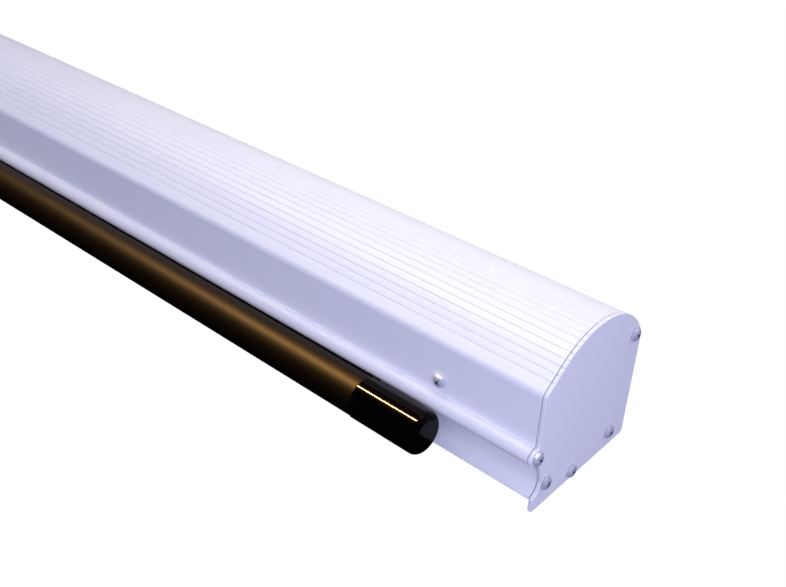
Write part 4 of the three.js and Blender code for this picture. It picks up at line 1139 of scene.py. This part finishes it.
# Room: a lavender light for matt surfaces, a little stronger from above than from the sides, and a dark one
# for what gloss reflects
world = bpy.data.worlds.new("studio")
bpy.context.scene.world = world
world.use_nodes = True
tree = world.node_tree
tree.nodes.clear()
rays, seen = direct_rays(tree)
way = add(tree, "ShaderNodeTexCoord")
parts = add(tree, "ShaderNodeSeparateXYZ", {0: way.outputs["Generated"]})
upward = add(tree, "ShaderNodeMath", {0: parts.outputs["Z"], 1: 0.0}, operation="MAXIMUM")
sides = add(tree, "ShaderNodeBackground", {"Color": linear(ROOM_COLOUR), "Strength": ROOM_SIDES})
ceiling = add(tree, "ShaderNodeBackground", {"Color": linear(CEILING_COLOUR), "Strength": ROOM_TOP})
room = add(tree, "ShaderNodeMixShader", {0: upward.outputs[0], 1: sides.outputs[0], 2: ceiling.outputs[0]})
dark_room = add(tree, "ShaderNodeBackground", {"Color": linear(ROOM_COLOUR), "Strength": GLOSS_STRENGTH})
white = add(tree, "ShaderNodeBackground", {"Color": linear("#FFFFFF"), "Strength": 1.0})
lit_by = add(tree, "ShaderNodeMixShader", {0: rays.outputs["Is Glossy Ray"], 1: room.outputs[0],
                                           2: dark_room.outputs[0]})
both = add(tree, "ShaderNodeMixShader", {0: seen.outputs[0], 1: lit_by.outputs[0], 2: white.outputs[0]})
add(tree, "ShaderNodeOutputWorld", {"Surface": both.outputs[0]})

# Floor, in metres: pale to the camera, a lavender grey to matt surfaces and dark to gloss
FLOOR_HEIGHT = -1.75
FLOOR_SIZE = 30
FLOOR_COLOUR = "#6E6E84"
FLOOR_GLOW = 0.92
FLOOR_IN_GLOSS = "#101014"
floor_mesh = bmesh.new()
bmesh.ops.create_grid(floor_mesh, x_segments=1, y_segments=1, size=FLOOR_SIZE / 2)
floor_data = bpy.data.meshes.new("floor")
floor_mesh.to_mesh(floor_data)
floor_mesh.free()
floor = bpy.data.objects.new("floor", floor_data)
bpy.context.scene.collection.objects.link(floor)
floor.location.z = FLOOR_HEIGHT
floor_paint = bpy.data.materials.new("pale floor")
floor_paint.use_nodes = True
tree = floor_paint.node_tree
tree.nodes.clear()
rays, seen = direct_rays(tree)
matt = add(tree, "ShaderNodeBsdfDiffuse", {"Color": linear(FLOOR_COLOUR)})
glow = add(tree, "ShaderNodeEmission", {"Color": linear("#FFFFFF"), "Strength": FLOOR_GLOW})
dark = add(tree, "ShaderNodeBsdfDiffuse", {"Color": linear(FLOOR_IN_GLOSS)})
lit = add(tree, "ShaderNodeAddShader", {0: matt.outputs[0], 1: glow.outputs[0]})
unlit = add(tree, "ShaderNodeMixShader", {0: rays.outputs["Is Glossy Ray"], 1: matt.outputs[0],
                                          2: dark.outputs[0]})
both = add(tree, "ShaderNodeMixShader", {0: seen.outputs[0], 1: unlit.outputs[0], 2: lit.outputs[0]})
add(tree, "ShaderNodeOutputMaterial", {"Surface": both.outputs[0]})
floor_data.materials.append(floor_paint)

bpy.context.scene.view_settings.view_transform = "Standard"
